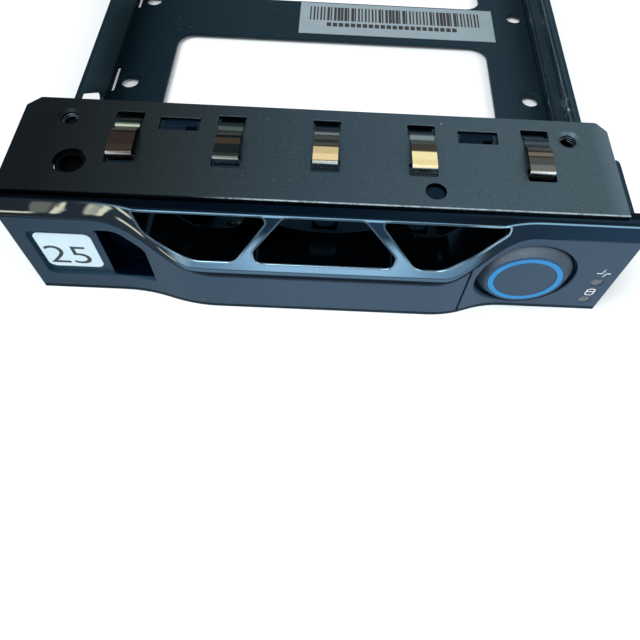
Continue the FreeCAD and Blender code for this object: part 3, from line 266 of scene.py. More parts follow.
coverLook = {
    # the top and the front face run from painted shade at the left to painted light at the right
    "top": [(0.06, "#101417"), (0.24, "#242b2c"), (0.5, "#364650"), (0.72, "#42535c"), (0.93, "#46575f"),
            (0.965, "#5d707b")],
    "front": [(0.1, "#0a1019"), (0.5, "#18222a"), (0.9, "#2c3942")],
    "cutLipHighlight": [(0.1, "#39454b"), (0.5, "#8595a0"), (0.9, "#9aabb5")],
    "light": "#8fa3ac", "dark": "#1b2226", "worn": "#b9c6cc", "burrHighlight": "#b9ccd4", "cut": "#0c151b",
    # where each effect starts and is full: across for the first three, in depth for the others
    "grainFrom": (-50 * mm, 2 * mm), "dustFrom": (-30 * mm, 10 * mm), "burrHighlightFrom": (-22 * mm, -6 * mm),
    "frontFrom": (1.42 * mm, 1.32 * mm), "burrHighlightDepth": (1.5 * mm, 1.35 * mm), "cutFrom": (1.6 * mm, 1.8 * mm),
    "cutHalfWidth": 51 * mm, "slotRears": (18.4 * mm, 19.3 * mm), "lipDeep": 0.05 * mm,
    "roughness": 0.36, "edgeRound": 0.1 * mm,
}


def coverSteel():
    look = coverLook
    finish = Finish("CoverSteel", **sheetSteel)
    across, deep, tall = (finish.axis(letter) for letter in "XYZ")
    cloud = finish.noise(18 * mm, 5, 0.6)
    grain = finish.noise(0.42 * mm, 3, 0.8)
    # the pale grain is painted stronger towards the right, as painted light
    litSide = finish.between(across, *look["grainFrom"])
    paleLitGrain = finish.between(grain, 0.56, 0.78) * (0.1 + litSide * 0.9)
    deepGrain = finish.between(grain, 0.44, 0.26)
    scratch = finish.between(finish.noise(0.9 * mm, 5, 0.75, finish.scaled(0.12, 1, 1, 5)), 0.68, 0.76)
    dusty = finish.between(cloud, 0.42, 0.6) * finish.between(across, *look["dustFrom"])
    dust = finish.specks(3.4 * mm, 0.045) * dusty
    speckled = finish.mix(paleLitGrain * 0.2, finish.across(look["top"]), paint(look["light"]))
    mottled = finish.mix(deepGrain * 0.6, speckled, paint(look["dark"]))
    marked = finish.mix((scratch * 0.18 + dust * 0.6).bounded(), mottled, paint(look["worn"]))
    # the front face is painted darker than the top, as painted shade
    faced = finish.mix(finish.between(deep, *look["frontFrom"]), marked, finish.across(look["front"]))
    # a torn bright burr of bare steel along the front edge, with a painted highlight that fades in towards the
    # right
    torn = 0.35 + finish.between(finish.noise(1.3 * mm, 4, 0.7), 0.3, 0.58) * 0.65
    burrHighlight = finish.between(tall, coverTop - 0.22 * mm, coverTop - 0.12 * mm) * torn
    burrHighlight = burrHighlight * finish.between(deep, *look["burrHighlightDepth"]) * finish.between(across, *look["burrHighlightFrom"])
    lined = finish.mix(burrHighlight * 0.8, faced, paint(look["burrHighlight"]))
    # sheared walls of the holes and slots, painted dark as shade, with a bright lip at the slots' rear edges as
    # a painted highlight
    upright = finish.between(finish.facing("Z") ** 2, 0.3, 0.1) * finish.between(deep, *look["cutFrom"])
    cut = upright * finish.within(across, -look["cutHalfWidth"], look["cutHalfWidth"], 0.1 * mm)
    near, far = (finish.within(deep, rear - look["lipDeep"], rear + look["lipDeep"], 0.01 * mm)
                 for rear in look["slotRears"])
    lip = (near + far).bounded() * finish.between(tall, coverTop - 0.22 * mm, coverTop - 0.16 * mm)
    shadedHoles = finish.mix(cut, lined, paint(look["cut"]))
    finish.set("Base Color", finish.mix(lip * cut, shadedHoles, finish.across(look["cutLipHighlight"])))
    finish.set("Roughness", look["roughness"] + cloud * 0.12 - paleLitGrain * 0.06)
    finish.bump(grain, 0.16, 0.02 * mm, look["edgeRound"])
    return finish.material


plainSteels = {
    "BrightSteel": {"low": "#6f7478", "high": "#a6abaf", "grain": 3 * mm, "roughness": (0.22, 0.16),
                    "edge": 0.08 * mm},
    "DarkSteel": {"low": "#2a3439", "high": "#4b585f", "grain": 1.5 * mm, "roughness": (0.26, 0.14),
                  "edge": 0},
}


def plainSteel(name):
    look = plainSteels[name]
    finish = Finish(name, Metallic=1, Specular_IOR_Level=0.5)
    cloud = finish.noise(look["grain"], 4)
    least, spread = look["roughness"]
    finish.set("Base Color", finish.mix(cloud, paint(look["low"]), paint(look["high"])))
    finish.set("Roughness", least + cloud * spread)
    if look["edge"]:
        finish.set("Normal", finish.rounded(look["edge"]))
    return finish.material


# Light and dark bands along each finger, which stand for what a bent bright strip reflects:
# where each starts, in mm of depth, and its shade.
fingerLook = {
    "end": 17.6, "soft": 0.11, "edge": 0.03 * mm, "pitted": "#26241f",
    1: [(8.2, "#dfe3de"), (8.5, "#352d28"), (10.4, "#2d2221"), (13.15, "#0d0806"), (13.45, "#272220"),
        (14.1, "#060604"), (15.35, "#c3cab9"), (15.85, "#5f6e62"), (16.15, "#15211f")],
    2: [(8.2, "#e6eae8"), (8.5, "#2c332f"), (9.4, "#141e20"), (11.5, "#3b3429"), (12.9, "#07111a"),
        (13.5, "#15222a"), (14.2, "#040b0f"), (15.55, "#4c5955"), (16.3, "#2a3837"), (16.6, "#122226")],
    3: [(8.2, "#ccd6d5"), (8.6, "#5d5e54"), (8.9, "#ecd5a4"), (10.3, "#cdb98c"), (11.85, "#28261b"),
        (12.1, "#454a44"), (12.8, "#2b2f29"), (14.1, "#4c4b48"), (15.4, "#212828"), (15.6, "#747d7f"),
        (16.05, "#2b363c"), (16.5, "#1a2830")],
    4: [(8.2, "#f5f5e8"), (8.55, "#f0dda6"), (10, "#f5eab1"), (11.75, "#5f573c"), (12, "#3b3a34"),
        (13.8, "#1d2424"), (14.6, "#4b5556"), (15.45, "#7a898b"), (16.3, "#46545b"), (16.6, "#16232c")],
    5: [(8.2, "#f4faf7"), (8.6, "#6b6e69"), (10, "#4a4d4a"), (11.6, "#37342e"), (12, "#706a5f"),
        (12.8, "#282b28"), (13.2, "#3b4441"), (13.7, "#0b1620"), (14.8, "#28353b"), (15.6, "#45545b"),
        (16.1, "#26363f")],
}


def fingerSteel(number):
    look = fingerLook
    finish = Finish(f"FingerSteel{number}", Metallic=1, Specular_IOR_Level=0.5)
    bands = look[number]
    first, last = bands[0][0], look["end"]
    brushed = finish.noise(0.25 * mm, 4, 0.7, finish.scaled(1, 0.05, 1))
    grain = finish.noise(0.14 * mm, 2, 0.6)
    share = (finish.axis("Y") - first * mm) * (1 / (last - first) / mm) + brushed * 0.012 - 0.006
    stops = []
    for (start, shade), stop in zip(bands, [start for start, shade in bands[1:]] + [last]):
        for place in (start + look["soft"], stop - look["soft"]):
            stops.append(((place - first) / (last - first), paint(shade)))
    pits = finish.between(grain, 0.4, 0.75) * 0.22
    finish.set("Base Color", finish.mix(pits, finish.ramp(share, stops), paint(look["pitted"])))
    finish.set("Roughness", 0.2 + brushed * 0.12)
    finish.bump(brushed, 0.08, 0.01 * mm, look["edge"])
    return finish.material


# plastics

trimLook = {
    # the face, the land and the webs are painted in light and shade that change across the part
    "face": [(0.02, "#12181f"), (0.2, "#18222b"), (0.3, "#08131d"), (0.72, "#08141f"), (0.85, "#13283a"),
             (1, "#1a3044")],
    "land": [(0.1, "#02060c"), (0.5, "#04121f"), (0.9, "#1e303e")],
    "lip": [(0.255, "#9db3c2"), (0.29, "#5a7890"), (0.33, "#5e7f98"), (0.42, "#84abc6"), (0.6, "#84abc6"),
            (0.68, "#61849d"), (0.76, "#4a6477")],
    "web": [(0.35, "#112231"), (0.65, "#1c3043")],
    "reflectionSwirl": [(0.15, "#2c3431"), (0.5, "#72746a"), (0.85, "#bdbca6")],
    "foot": "#587389", "rimHighlight": "#7ca3ba", "turned": "#060c12", "ductShade": "#11212d", "ductDeepShade": "#0a151d",
    # painted reflections as swirls, in mm: streaks have a middle, a half width and a strength, and curves have
    # a start and a stop across and a low and a high side above the wave
    "streaks": [(-44.9, 1.9, 0.4), (-41.9, 0.7, 0.95), (-36.4, 1.3, 0.6), (-37.8, 0.3, 0.5),
                (-34.9, 0.5, 0.95)],
    "curves": [(-33, -29.4, 1, 1.9), (-32.4, -30.2, 4.3, 5.3), (-27.5, -24.6, 1.8, 2.4)],
    "lean": 0.75, "stray": 2.6 * mm, "leftGlow": (-45 * mm, -48 * mm),
    # heights above the wave line of the foot, the lip and the streaks, and where the lip ends across
    "footHeights": (1 * mm, 1.9 * mm), "lipFrom": (1.9 * mm, 2.3 * mm), "lipEnds": (-24.9 * mm, 26.5 * mm),
    "streakFoot": (0.4 * mm, 1.3 * mm), "streakTop": (4.5 * mm, 3.4 * mm),
    "webFrom": (17 * mm, 21 * mm), "webHalfWidth": 20 * mm,
    "rimHeights": (25.42 * mm, 25.88 * mm), "rimFrom": (-40 * mm, -24 * mm),
    "turnedFrom": (10 * mm, 30 * mm), "turnedHeights": (25.7 * mm, 25.9 * mm),
    "turnedDepth": (0.45 * mm, 0.2 * mm), "landFrom": (26.02 * mm, 26.12 * mm),
    "waveLeft": (-34.6 * mm, -22.4 * mm), "waveRight": (21.4 * mm, 32.9 * mm), "waveLow": 10.6 * mm,
    "waveRise": 11.1 * mm, "roughness": 0.1, "edge": 0.36 * mm,
}


def trimReflections(finish, above):
    # painted reflections as pale swirls on the left flank: how strong, and their shade
    look = trimLook
    across = finish.axis("X")
    reflectionSwirl = finish.noise(4.5 * mm, 2, 0.4, finish.scaled(1, 1, 1.2), 0.8)
    leaning = across - (above - 2 * mm) * look["lean"] + (reflectionSwirl - 0.5) * look["stray"]
    leftGlow = finish.within(above, 0.65 * mm, 1.15 * mm, 0.2 * mm)
    glow = leftGlow * finish.between(across, *look["leftGlow"]) * 0.8
    for start, stop, low, high in look["curves"]:
        curved = finish.within(across, start * mm, stop * mm, 0.7 * mm)
        glow = glow + finish.within(above, low * mm, high * mm, 0.35 * mm) * curved * 0.9
    tallEnough = finish.between(above, *look["streakFoot"]) * finish.between(above, *look["streakTop"])
    for place, half, strength in look["streaks"]:
        streak = finish.within(leaning, (place - half) * mm, (place + half) * mm, 0.75 * mm)
        glow = glow + streak * tallEnough * strength
    shade = finish.ramp(glow.bounded() * (0.7 + reflectionSwirl * 0.6), painted(look["reflectionSwirl"]))
    return finish.between(glow, 0.05, 0.6), shade


def glossTrim():
    look = trimLook
    finish = Finish("GlossTrim", IOR=1.45, Specular_IOR_Level=0.14, Specular_Tint=(0.56, 0.6, 0.62, 1))
    across, tall = finish.axis("X"), finish.axis("Z")
    cloud = finish.noise(14 * mm, 4)
    hairs = finish.between(finish.noise(0.9 * mm, 6, 0.8, finish.scaled(0.04, 1, 1, 12)), 0.66, 0.78)
    wave = finish.between(across, *reversed(look["waveLeft"])) + finish.between(across, *look["waveRight"])
    above = tall - wave * look["waveRise"] - look["waveLow"]
    outer = finish.between(finish.facing("Y"), -0.35, -0.6)
    # painted reflections below the vents: the pale lip and the mid-blue foot under it; above the lip the webs
    # take a painted shade of their own
    lipped = finish.between(above, *look["lipFrom"]) * finish.between(tall, 22.5 * mm, 18 * mm)
    footed = finish.within(above, *look["footHeights"], 0.15 * mm)
    middle = finish.within(across, *look["lipEnds"], 1.6 * mm)
    centred = finish.within(across, -look["webHalfWidth"], look["webHalfWidth"], 3 * mm)
    webbed = finish.between(tall, *look["webFrom"]) * centred
    faces = finish.mix(webbed, finish.across(look["face"]), finish.across(look["web"]))
    faces = finish.mix(footed * middle * 0.8, faces, paint(look["foot"]))
    faces = finish.mix(lipped * middle, faces, finish.across(look["lip"]))
    reflected, reflectionShade = trimReflections(finish, above)
    faces = finish.mix(reflected, faces, reflectionShade)
    # a painted highlight along the top of the face at the left
    rimHighlight = finish.within(tall, *look["rimHeights"], 0.08 * mm) * finish.between(across, *look["rimFrom"])
    faces = finish.mix(rimHighlight, faces, paint(look["rimHighlight"]))
    # the edge between face and land is painted dark at the right, as painted shade
    turned = finish.between(across, *look["turnedFrom"]) * 0.65
    high = finish.between(tall, *look["turnedHeights"])
    faces = finish.mix(turned * high, faces, paint(look["turned"]))
    # the inside of the vents is painted dark as shade, and more metallic so it doesn't shine
    inner = finish.mix(outer, finish.mix(cloud, paint(look["ductDeepShade"]), paint(look["ductShade"])), faces)
    landed = finish.between(tall, *look["landFrom"])
    fore = finish.between(finish.axis("Y"), *look["turnedDepth"])
    land = finish.mix(turned * fore, finish.across(look["land"]), paint(look["turned"]))
    finish.set("Base Color", finish.mix(landed, inner, land))
    finish.set("Metallic", 0.95 - outer * 0.15)
    finish.set("Roughness", look["roughness"] + cloud * 0.05 + hairs * 0.1)
    finish.bump(cloud * 0.6 + hairs * 0.2, 0.05, 0.05 * mm, look["edge"])
    return finish.material


rimLook = {
    "dark": "#263a48", "light": "#88a9bc", "roughness": 0.12,
    # where the rim carries a painted highlight, across and up: the lower vents' edges and the right vent's
    # upper one
    "lower": ((-28 * mm, -23 * mm), (19 * mm, 16 * mm)), "upper": ((22 * mm, 26 * mm), (18 * mm, 21 * mm)),
}


def rimGloss():
    look = rimLook
    finish = Finish("RimGloss", Metallic=0.9, Specular_IOR_Level=0.5)
    cloud = finish.noise(6 * mm, 3)
    # the light parts of the rim are painted highlights
    lower, upper = (finish.between(finish.axis("X"), *over) * finish.between(finish.axis("Z"), *up)
                    for over, up in (look["lower"], look["upper"]))
    light = (lower * 0.6 + upper * 0.8 + cloud * 0.2).bounded()
    finish.set("Base Color", finish.mix(light, paint(look["dark"]), paint(look["light"])))
    finish.set("Roughness", look["roughness"] + cloud * 0.08)
    return finish.material


matteLook = {
    # shades across the part, from painted shade at the left to painted light at the right
    "across": [(0.02, "#142c3b"), (0.2, "#263b4c"), (0.45, "#34475a"), (1, "#36495c")],
    "rub": "#8897a5", "foot": "#0a1722", "footTop": 0.8 * mm,
    # the finger grip, from and to this far right of the pivot pin's head
    "pocket": "#031121", "pocketEnds": (0.3 * mm, 9.5 * mm),
    # the tube round the button, from this far from its middle, and what lies behind the panel, both painted
    # dark as shade
    "recess": "#0c1a25", "recessReach": (9.3 * mm, 8.95 * mm), "backFrom": (1.6 * mm, 2.4 * mm),
    # the slope round the button's face, painted pale at its upper left as painted light and dark elsewhere as
    # painted shade
    "cone": "#67727a", "coneShade": "#2f3d49", "coneReach": (6.95 * mm, 7.1 * mm),
    "roughness": 0.46, "edge": 0.35 * mm,
}


def slatePlastic(name, extra):
    # extra adds a node's own shades, and makes the places that take no light metallic, so they don't shine
    look = matteLook
    finish = Finish(name, IOR=1.5, Specular_IOR_Level=0.14, Specular_Tint=(0.55, 0.8, 1, 1))
    grain = finish.noise(0.16 * mm, 2, 0.6)
    rub = finish.between(finish.noise(1.4 * mm, 5, 0.75, finish.scaled(0.06, 1, 1, -8)), 0.66, 0.78)
    dust = finish.specks(3.2 * mm, 0.045) * finish.between(finish.noise(9 * mm, 2), 0.5, 0.62)
    marked = finish.mix((rub * 0.2 + dust * 0.5).bounded(), finish.across(look["across"]), paint(look["rub"]))
    foot = finish.between(finish.axis("Z"), look["footTop"] + 0.1 * mm, look["footTop"] - 0.1 * mm)
    unlit, colour = extra(finish, finish.mix(foot, marked, paint(look["foot"])))
    finish.set("Base Color", colour)
    finish.set("Metallic", unlit)
    finish.set("Roughness", look["roughness"] + grain * 0.1 - rub * 0.08)
    finish.bump(grain, 0.25, 0.03 * mm, look["edge"])
    return finish.material


def darkPocket(finish, base):
    # the finger grip behind the lever's face takes no light
    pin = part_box("lever_pivot_pin")[1].x
    start, stop = (pin + end for end in matteLook["pocketEnds"])
    pocket = finish.within(finish.axis("X"), start, stop, 0.1 * mm)
    pocket = pocket * finish.between(finish.axis("Y"), 0.1 * mm, 0.5 * mm)
    return pocket, finish.mix(pocket, base, paint(matteLook["pocket"]))


def roundButton(finish):
    # the middle of the button, and how far the surface is from it
    low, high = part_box("button_ring")
    centre = (low + high) / 2
    return centre, ((finish.axis("X") - centre.x) ** 2 + (finish.axis("Z") - centre.z) ** 2) ** 0.5


def shadedBack(finish, base):
    # the inside of the button's tube and all that lies behind the panel are painted dark as shade
    look = matteLook
    back = finish.between(finish.axis("Y"), *look["backFrom"])
    centre, reach = roundButton(finish)
    recess = finish.between(reach, *look["recessReach"]) * finish.between(finish.axis("Y"), 0.15 * mm, 0.6 * mm)
    dark = (back + recess).bounded()
    return dark * 0.9, finish.mix(dark, base, paint(look["recess"]))


def frostedCone(finish, base):
    # the slope round the button's face is grained, painted pale at its upper left as painted light and dark
    # below as painted shade
    look = matteLook
    centre, reach = roundButton(finish)
    cone = finish.between(reach, *look["coneReach"])
    upper = finish.between(finish.axis("Z"), centre.z + 1.5 * mm, centre.z + 5.5 * mm)
    left = finish.between(finish.axis("X"), centre.x + 5 * mm, centre.x - 3 * mm)
    frost = finish.between(finish.noise(0.2 * mm, 3, 0.7), 0.3, 0.72)
    paleLitGrain = (0.35 + frost * 0.65) * upper * (0.25 + left * 0.7)
    slope = finish.mix(paleLitGrain, paint(look["coneShade"]), paint(look["cone"]))
    return 0, finish.mix(cone, base, slope)


ringLook = {"low": "#1278b6", "high": "#228bc9", "roughness": 0.34, "edge": 0.15 * mm}


def ringPlastic():
    look = ringLook
    finish = Finish("RingPlastic", Metallic=0, IOR=1.5, Specular_IOR_Level=0.2)
    cloud = finish.noise(1.2 * mm, 3)
    finish.set("Base Color", finish.mix(cloud, paint(look["low"]), paint(look["high"])))
    finish.set("Roughness", look["roughness"] + cloud * 0.1)
    finish.set("Normal", finish.rounded(look["edge"]))
    return finish.material


clearLook = {"lens": "#75838d", "bar": "#536a76", "edge": "#8a9ea9", "glint": "#cfdade",
             "glintsAt": (41.5 * mm, 46.5 * mm), "barFrom": (2 * mm, 6 * mm),
             "roughness": 0.22, "edgeRound": 0.1 * mm}


def clearPlastic():
    # clear only at the lens; the long bars stand against the dark tray, with painted glints at their bends as
    # highlights
    look = clearLook
    finish = Finish("ClearPlastic", IOR=1.49, Transmission_Weight=0.6, Specular_IOR_Level=0.3)
    deep = finish.axis("Y")
    cloud = finish.noise(1.6 * mm, 2, 0.5)
    drawn = finish.noise(0.8 * mm, 2, 0.5, finish.scaled(1, 0.05, 1))
    glints = finish.between(cloud, 0.55, 0.66) * finish.within(deep, *look["glintsAt"], 1.5 * mm)
    lined = finish.mix(finish.between(drawn, 0.5, 0.7), paint(look["bar"]), paint(look["edge"]))
    barred = finish.mix(glints, lined, paint(look["glint"]))
    bar = finish.between(deep, *look["barFrom"])
    finish.set("Base Color", finish.mix(bar, paint(look["lens"]), barred))
    finish.set("Metallic", bar * 0.97)
    finish.set("Roughness", look["roughness"] + cloud * 0.1)
    finish.set("Normal", finish.rounded(look["edgeRound"]))
    return finish.material


pinLook = {"low": "#030507", "high": "#0b0e11", "roughness": 0.42, "edge": 0.1 * mm}


def blackPin():
    look = pinLook
    finish = Finish("BlackPin", Specular_IOR_Level=0.15, Specular_Tint=(0.5, 0.6, 0.7, 1))
    cloud = finish.noise(1.5 * mm, 4)
    finish.set("Base Color", finish.mix(cloud, paint(look["low"]), paint(look["high"])))
    finish.set("Metallic", 0.85 + cloud * 0.1)
    finish.set("Roughness", look["roughness"] + cloud * 0.15)
    finish.set("Normal", finish.rounded(look["edge"]))
    return finish.material


# labels and print

filmLook = {"NumberLabel": ("#bdd6de", "#cbe2ea"), "TrayLabel": ("#798a90", "#8898a0")}


def labelFilm(name):
    low, high = filmLook[name]
    finish = Finish(name, Metallic=0, IOR=1.46)
    cloud = finish.noise(4 * mm, 4)
    fibre = finish.noise(0.2 * mm, 3, 0.7)
    finish.set("Base Color", finish.mix(cloud, paint(low), paint(high)))
    finish.set("Roughness", 0.36 + fibre * 0.14)
    finish.bump(fibre, 0.08, 0.02 * mm)
    return finish.material


def ink(name, shade):
    finish = Finish(name, Metallic=0, IOR=1.45)
    cloud = finish.noise(0.8 * mm, 3)
    low = tuple(0.82 * c for c in paint(shade)[:3]) + (1,)
    finish.set("Base Color", finish.mix(cloud, low, paint(shade)))
    finish.set("Roughness", 0.5 + cloud * 0.08)
    return finish.material


# every node's finish

finishes = {
    "tray_base": traySteel(),
    "head_cover": coverSteel(),
    "cover_rivets": plainSteel("BrightSteel"),
    "trim_screws": plainSteel("DarkSteel"),
    "vent_trim": glossTrim(),
    "handle_lever": slatePlastic("LeverPlastic", darkPocket),
    "bezel_housing": slatePlastic("HousingPlastic", shadedBack),
    "release_button": slatePlastic("ButtonPlastic", frostedCone),
    "lever_pivot_pin": blackPin(),
    "button_ring": ringPlastic(),
    "light_pipe_upper": clearPlastic(),
    "number_label": labelFilm("NumberLabel"),
    "tray_label": labelFilm("TrayLabel"),
}
shared = {  # nodes that wear the finish of another one
    "cover_rivets": ["lever_spring", "button_spring", "latch_spring"],
    "trim_screws": ["housing_screws"],
    "bezel_housing": ["latch_slider"],
    "light_pipe_upper": ["light_pipe_lower"],
}
for number in range(1, 6):
    finishes[f"spring_finger_{number}"] = fingerSteel(number)
for source, others in shared.items():
    for other in others:
        finishes[other] = finishes[source]
for name, part in nodes.items():
    part.data.materials.clear()
    part.data.materials.append(finishes[name])
print("finishes on", len(nodes), "nodes")


def newPiece(name, mesh, body, material):
    data = bpy.data.meshes.new(name)
    mesh.to_mesh(data)
    mesh.free()
    piece = bpy.data.objects.new(name, data)
    bpy.context.scene.collection.objects.link(piece)
    data.materials.append(material)
    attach(piece, body)
    return piece


# printed marks


def plate(mesh, left, right, low, high, place, thickness):
    # thin block of print; place turns its (x, y) plane onto the surface
    made = bmesh.ops.create_grid(mesh, x_segments=1, y_segments=1, size=0.5)["verts"]
    bmesh.ops.scale(mesh, vec=(right - left, high - low, 1), verts=made)
    bmesh.ops.translate(mesh, vec=((left + right) / 2, (low + high) / 2, 0), verts=made)
    faces = {face for vert in made for face in vert.link_faces}
    raised = bmesh.ops.extrude_face_region(mesh, geom=list(faces), use_keep_orig=True)["geom"]
    lifted = [item for item in raised if isinstance(item, bmesh.types.BMVert)]
    bmesh.ops.translate(mesh, vec=(0, 0, thickness), verts=lifted)
    everything = list(set(made) | set(lifted))
    bmesh.ops.transform(mesh, matrix=place, verts=everything)


# bars and a row of plain blocks on the tray's label
barLabel = {"bars": 50, "widths": (0.38, 0.72, 0.5, 0.85, 0.4), "left": 2.6 * mm, "right": 3.1 * mm,
            "rear": 1.7 * mm, "tall": 5.6 * mm, "thick": 0.03 * mm, "print": "#07090b",
            "signs": 22, "signTall": 1.5 * mm, "signWide": 1.15 * mm, "signGap": 0.9 * mm,
            "signsFrom": 0.1, "signsLong": 0.76}


def barMarks():
    look = barLabel
    low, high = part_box("tray_label")
    place = Matrix.Translation((0, 0, high.z))
    mesh = bmesh.new()
    start, stop = low.x + look["left"], high.x - look["right"]
    pitch = (stop - start) / look["bars"]
    top = high.y - look["rear"]
    for index in range(look["bars"]):
        width = look["widths"][(index * 7 + index // 3) % 5] * pitch
        left = start + index * pitch
        plate(mesh, left, left + width, top - look["tall"], top, place, look["thick"])
    rowTop = top - look["tall"] - look["signGap"]
    for index in range(look["signs"]):
        left = start + (look["signsFrom"] + look["signsLong"] * index / look["signs"]) * (stop - start)
        plate(mesh, left, left + look["signWide"], rowTop - look["signTall"], rowTop, place, look["thick"])
    bmesh.ops.recalc_face_normals(mesh, faces=mesh.faces)
    return newPiece("barMarks", mesh, "tray", ink("BarInk", look["print"]))


barMarks()

# the bay's number on the lever's label; figureTall is the letters' size over a figure's height
numberPrint = {"text": "25", "tall": 5.3 * mm, "figureTall": 1.42, "wide": 1.14, "spacing": 0.98,
               "thick": 0.03 * mm, "thinner": 0.01, "shade": "#16242c", "shift": (-0.45 * mm, -1.6 * mm)}


def numberMarks():
    look = numberPrint
    low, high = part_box("number_label")
    words = bpy.data.curves.new("numberMarks", "FONT")
    words.body = look["text"]
    words.align_x = "CENTER"
    words.align_y = "CENTER"
    words.size = look["tall"] * look["figureTall"]
    words.space_character = look["spacing"]
    words.offset = -look["thinner"] * look["tall"]
    words.extrude = look["thick"]
    words.resolution_u = 6
    holder = bpy.data.objects.new("numberWords", words)
    bpy.context.scene.collection.objects.link(holder)
    bpy.context.view_layer.update()
    data = bpy.data.meshes.new_from_object(holder)
    bpy.data.objects.remove(holder)
    right, up = look["shift"]
    middle = Vector(((low.x + high.x) / 2 + right, low.y, (low.z + high.z) / 2 + up))
    stretch = Matrix.Diagonal((look["wide"], 1, 1, 1))
    data.transform(Matrix.Translation(middle) @ Matrix.Rotation(math.radians(90), 4, "X") @ stretch)
    mesh = bmesh.new()
    mesh.from_mesh(data)
    return newPiece("numberMarks", mesh, "lever", ink("NumberInk", look["shade"]))


numberMarks()
print("printed marks made")


def tubeMesh(runs, radius, sides=2):
    # round wire along lists of points; a run is (points, closed)
    line = bpy.data.curves.new("tubeLine", "CURVE")
    line.dimensions = "3D"
    line.bevel_depth = radius
    line.bevel_resolution = sides
    line.use_fill_caps = True
    for points, closed in runs:
        spline = line.splines.new("POLY")
        spline.points.add(len(points) - 1)
        spline.use_cyclic_u = closed
        for target, point in zip(spline.points, points):
            target.co = (*point, 1)
    holder = bpy.data.objects.new("tubeHolder", line)
    bpy.context.scene.collection.objects.link(holder)
    bpy.context.view_layer.update()
    data = bpy.data.meshes.new_from_object(holder)
    bpy.data.objects.remove(holder)
    mesh = bmesh.new()
    mesh.from_mesh(data)
    for face in mesh.faces:
        face.smooth = True
    return mesh


# rounded rims where the vents break through the gloss face

ventRim = {"vents": ("left_vent", "middle_vent", "right_vent"), "steps": 150, "radius": 0.22 * mm,
           "plane": -0.3 * mm, "out": 0.14 * mm, "sunk": 0.1 * mm, "before": -20 * mm}


def rimPoints(hollow):
    # a ray finds the vent's wall, and a second one from the front finds the face beside it
    look = ventRim
    trim = nodes["vent_trim"]
    low, high = (Vector(corner) for corner in hollow["box_m"])
    centre = Vector(((low.x + high.x) / 2, look["plane"], (low.z + high.z) / 2))
    points = []
    for step in range(look["steps"]):
        turn = 2 * math.pi * step / look["steps"]
        away = Vector((math.cos(turn), 0, math.sin(turn)))
        wall, normal = trim.ray_cast(centre, away)[1:3]
        edge = wall - normal * look["out"]
        front = trim.ray_cast(Vector((edge.x, look["before"], edge.z)), Vector((0, 1, 0)))[1]
        points.append(front + Vector((0, look["sunk"], 0)))
    return points


def ventRims():
    hollows = {hollow["name"]: hollow for hollow in frame["record"]["physics"]["openings"]}
    runs = [(rimPoints(hollows[name]), True) for name in ventRim["vents"]]
    return newPiece("ventRims", tubeMesh(runs, ventRim["radius"]), "tray", rimGloss())


ventRims()

# round wire springs with closed ends, which take the place of the imported springs

springLook = {
    "button_spring": {"joint": "button_press", "along": 1, "turns": 5.6, "closed": 1.1, "wire": 0.24 * mm},
    "latch_spring": {"joint": "latch_slide", "along": 0, "turns": 4, "closed": 0.6, "wire": 0.19 * mm},
    "steps": 24, "spare": 0.03 * mm, "closedPitch": 2.1,
}
jointLimits = {joint["name"]: joint.get("range_m") for joint in frame["record"]["behaviour"]["joints"]}


def coilPoints(low, high, look):
    # a helix inside the box, with closed turns at both ends
    wire, along = look["wire"], look["along"]
    over, up = (along + 1) % 3, (along + 2) % 3
    start = low[along] + wire + springLook["spare"]
    length = high[along] - low[along] - 2 * (wire + springLook["spare"])
    reach = min(high[over] - low[over], high[up] - low[up]) / 2 - wire
    closedPitch = springLook["closedPitch"] * wire
    openPitch = (length - 2 * look["closed"] * closedPitch) / (look["turns"] - 2 * look["closed"])
    points = []
    for step in range(round(look["turns"] * springLook["steps"]) + 1):
        wound = step / springLook["steps"]
        ends = min(wound, look["closed"]) + max(wound - look["turns"] + look["closed"], 0)
        point = (low + high) / 2
        point[along] = start + ends * closedPitch + (wound - ends) * openPitch
        point[over] += reach * math.cos(2 * math.pi * wound)
        point[up] += reach * math.sin(2 * math.pi * wound)
        points.append(point)
    return points


def wireSpring(node):
    look = springLook[node]
    low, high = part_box(node)
    along = look["along"]
    mesh = tubeMesh([(coilPoints(low, high, look), False)], look["wire"])
    words = node.split("_")
    spring = newPiece(words[0] + words[1].capitalize(), mesh, "tray", finishes[node])
    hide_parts(node)
    travel = jointLimits[look["joint"]][1]
    kept = 1 - travel / (high[along] - low[along])
    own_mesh(spring)


for node in ("button_spring", "latch_spring"):
    wireSpring(node)

# threads in the two tapped holes of the cover

threadCut = {"holes": ("cover_thread_left", "cover_thread_right"), "proud": 0.09 * mm, "crest": 0.1 * mm,
             "pitch": 0.42 * mm, "turns": 2.2, "top": 0.62 * mm, "steps": 28}
mounts = {mount["name"]: mount for mount in frame["record"]["mounts"]}


def wireProfile(mesh, start, sides, radius, flat=1):
    # the cut of a wire that a spin about the Z axis then carries round, and its edges
    turn = Matrix.Translation(start) @ Matrix.Rotation(math.pi / 2, 4, "X")
    place = turn @ Matrix.Diagonal((1, flat, 1, 1))
    made = bmesh.ops.create_circle(mesh, segments=sides, radius=radius, matrix=place)
    return list({edge for vert in made["verts"] for edge in vert.link_edges})


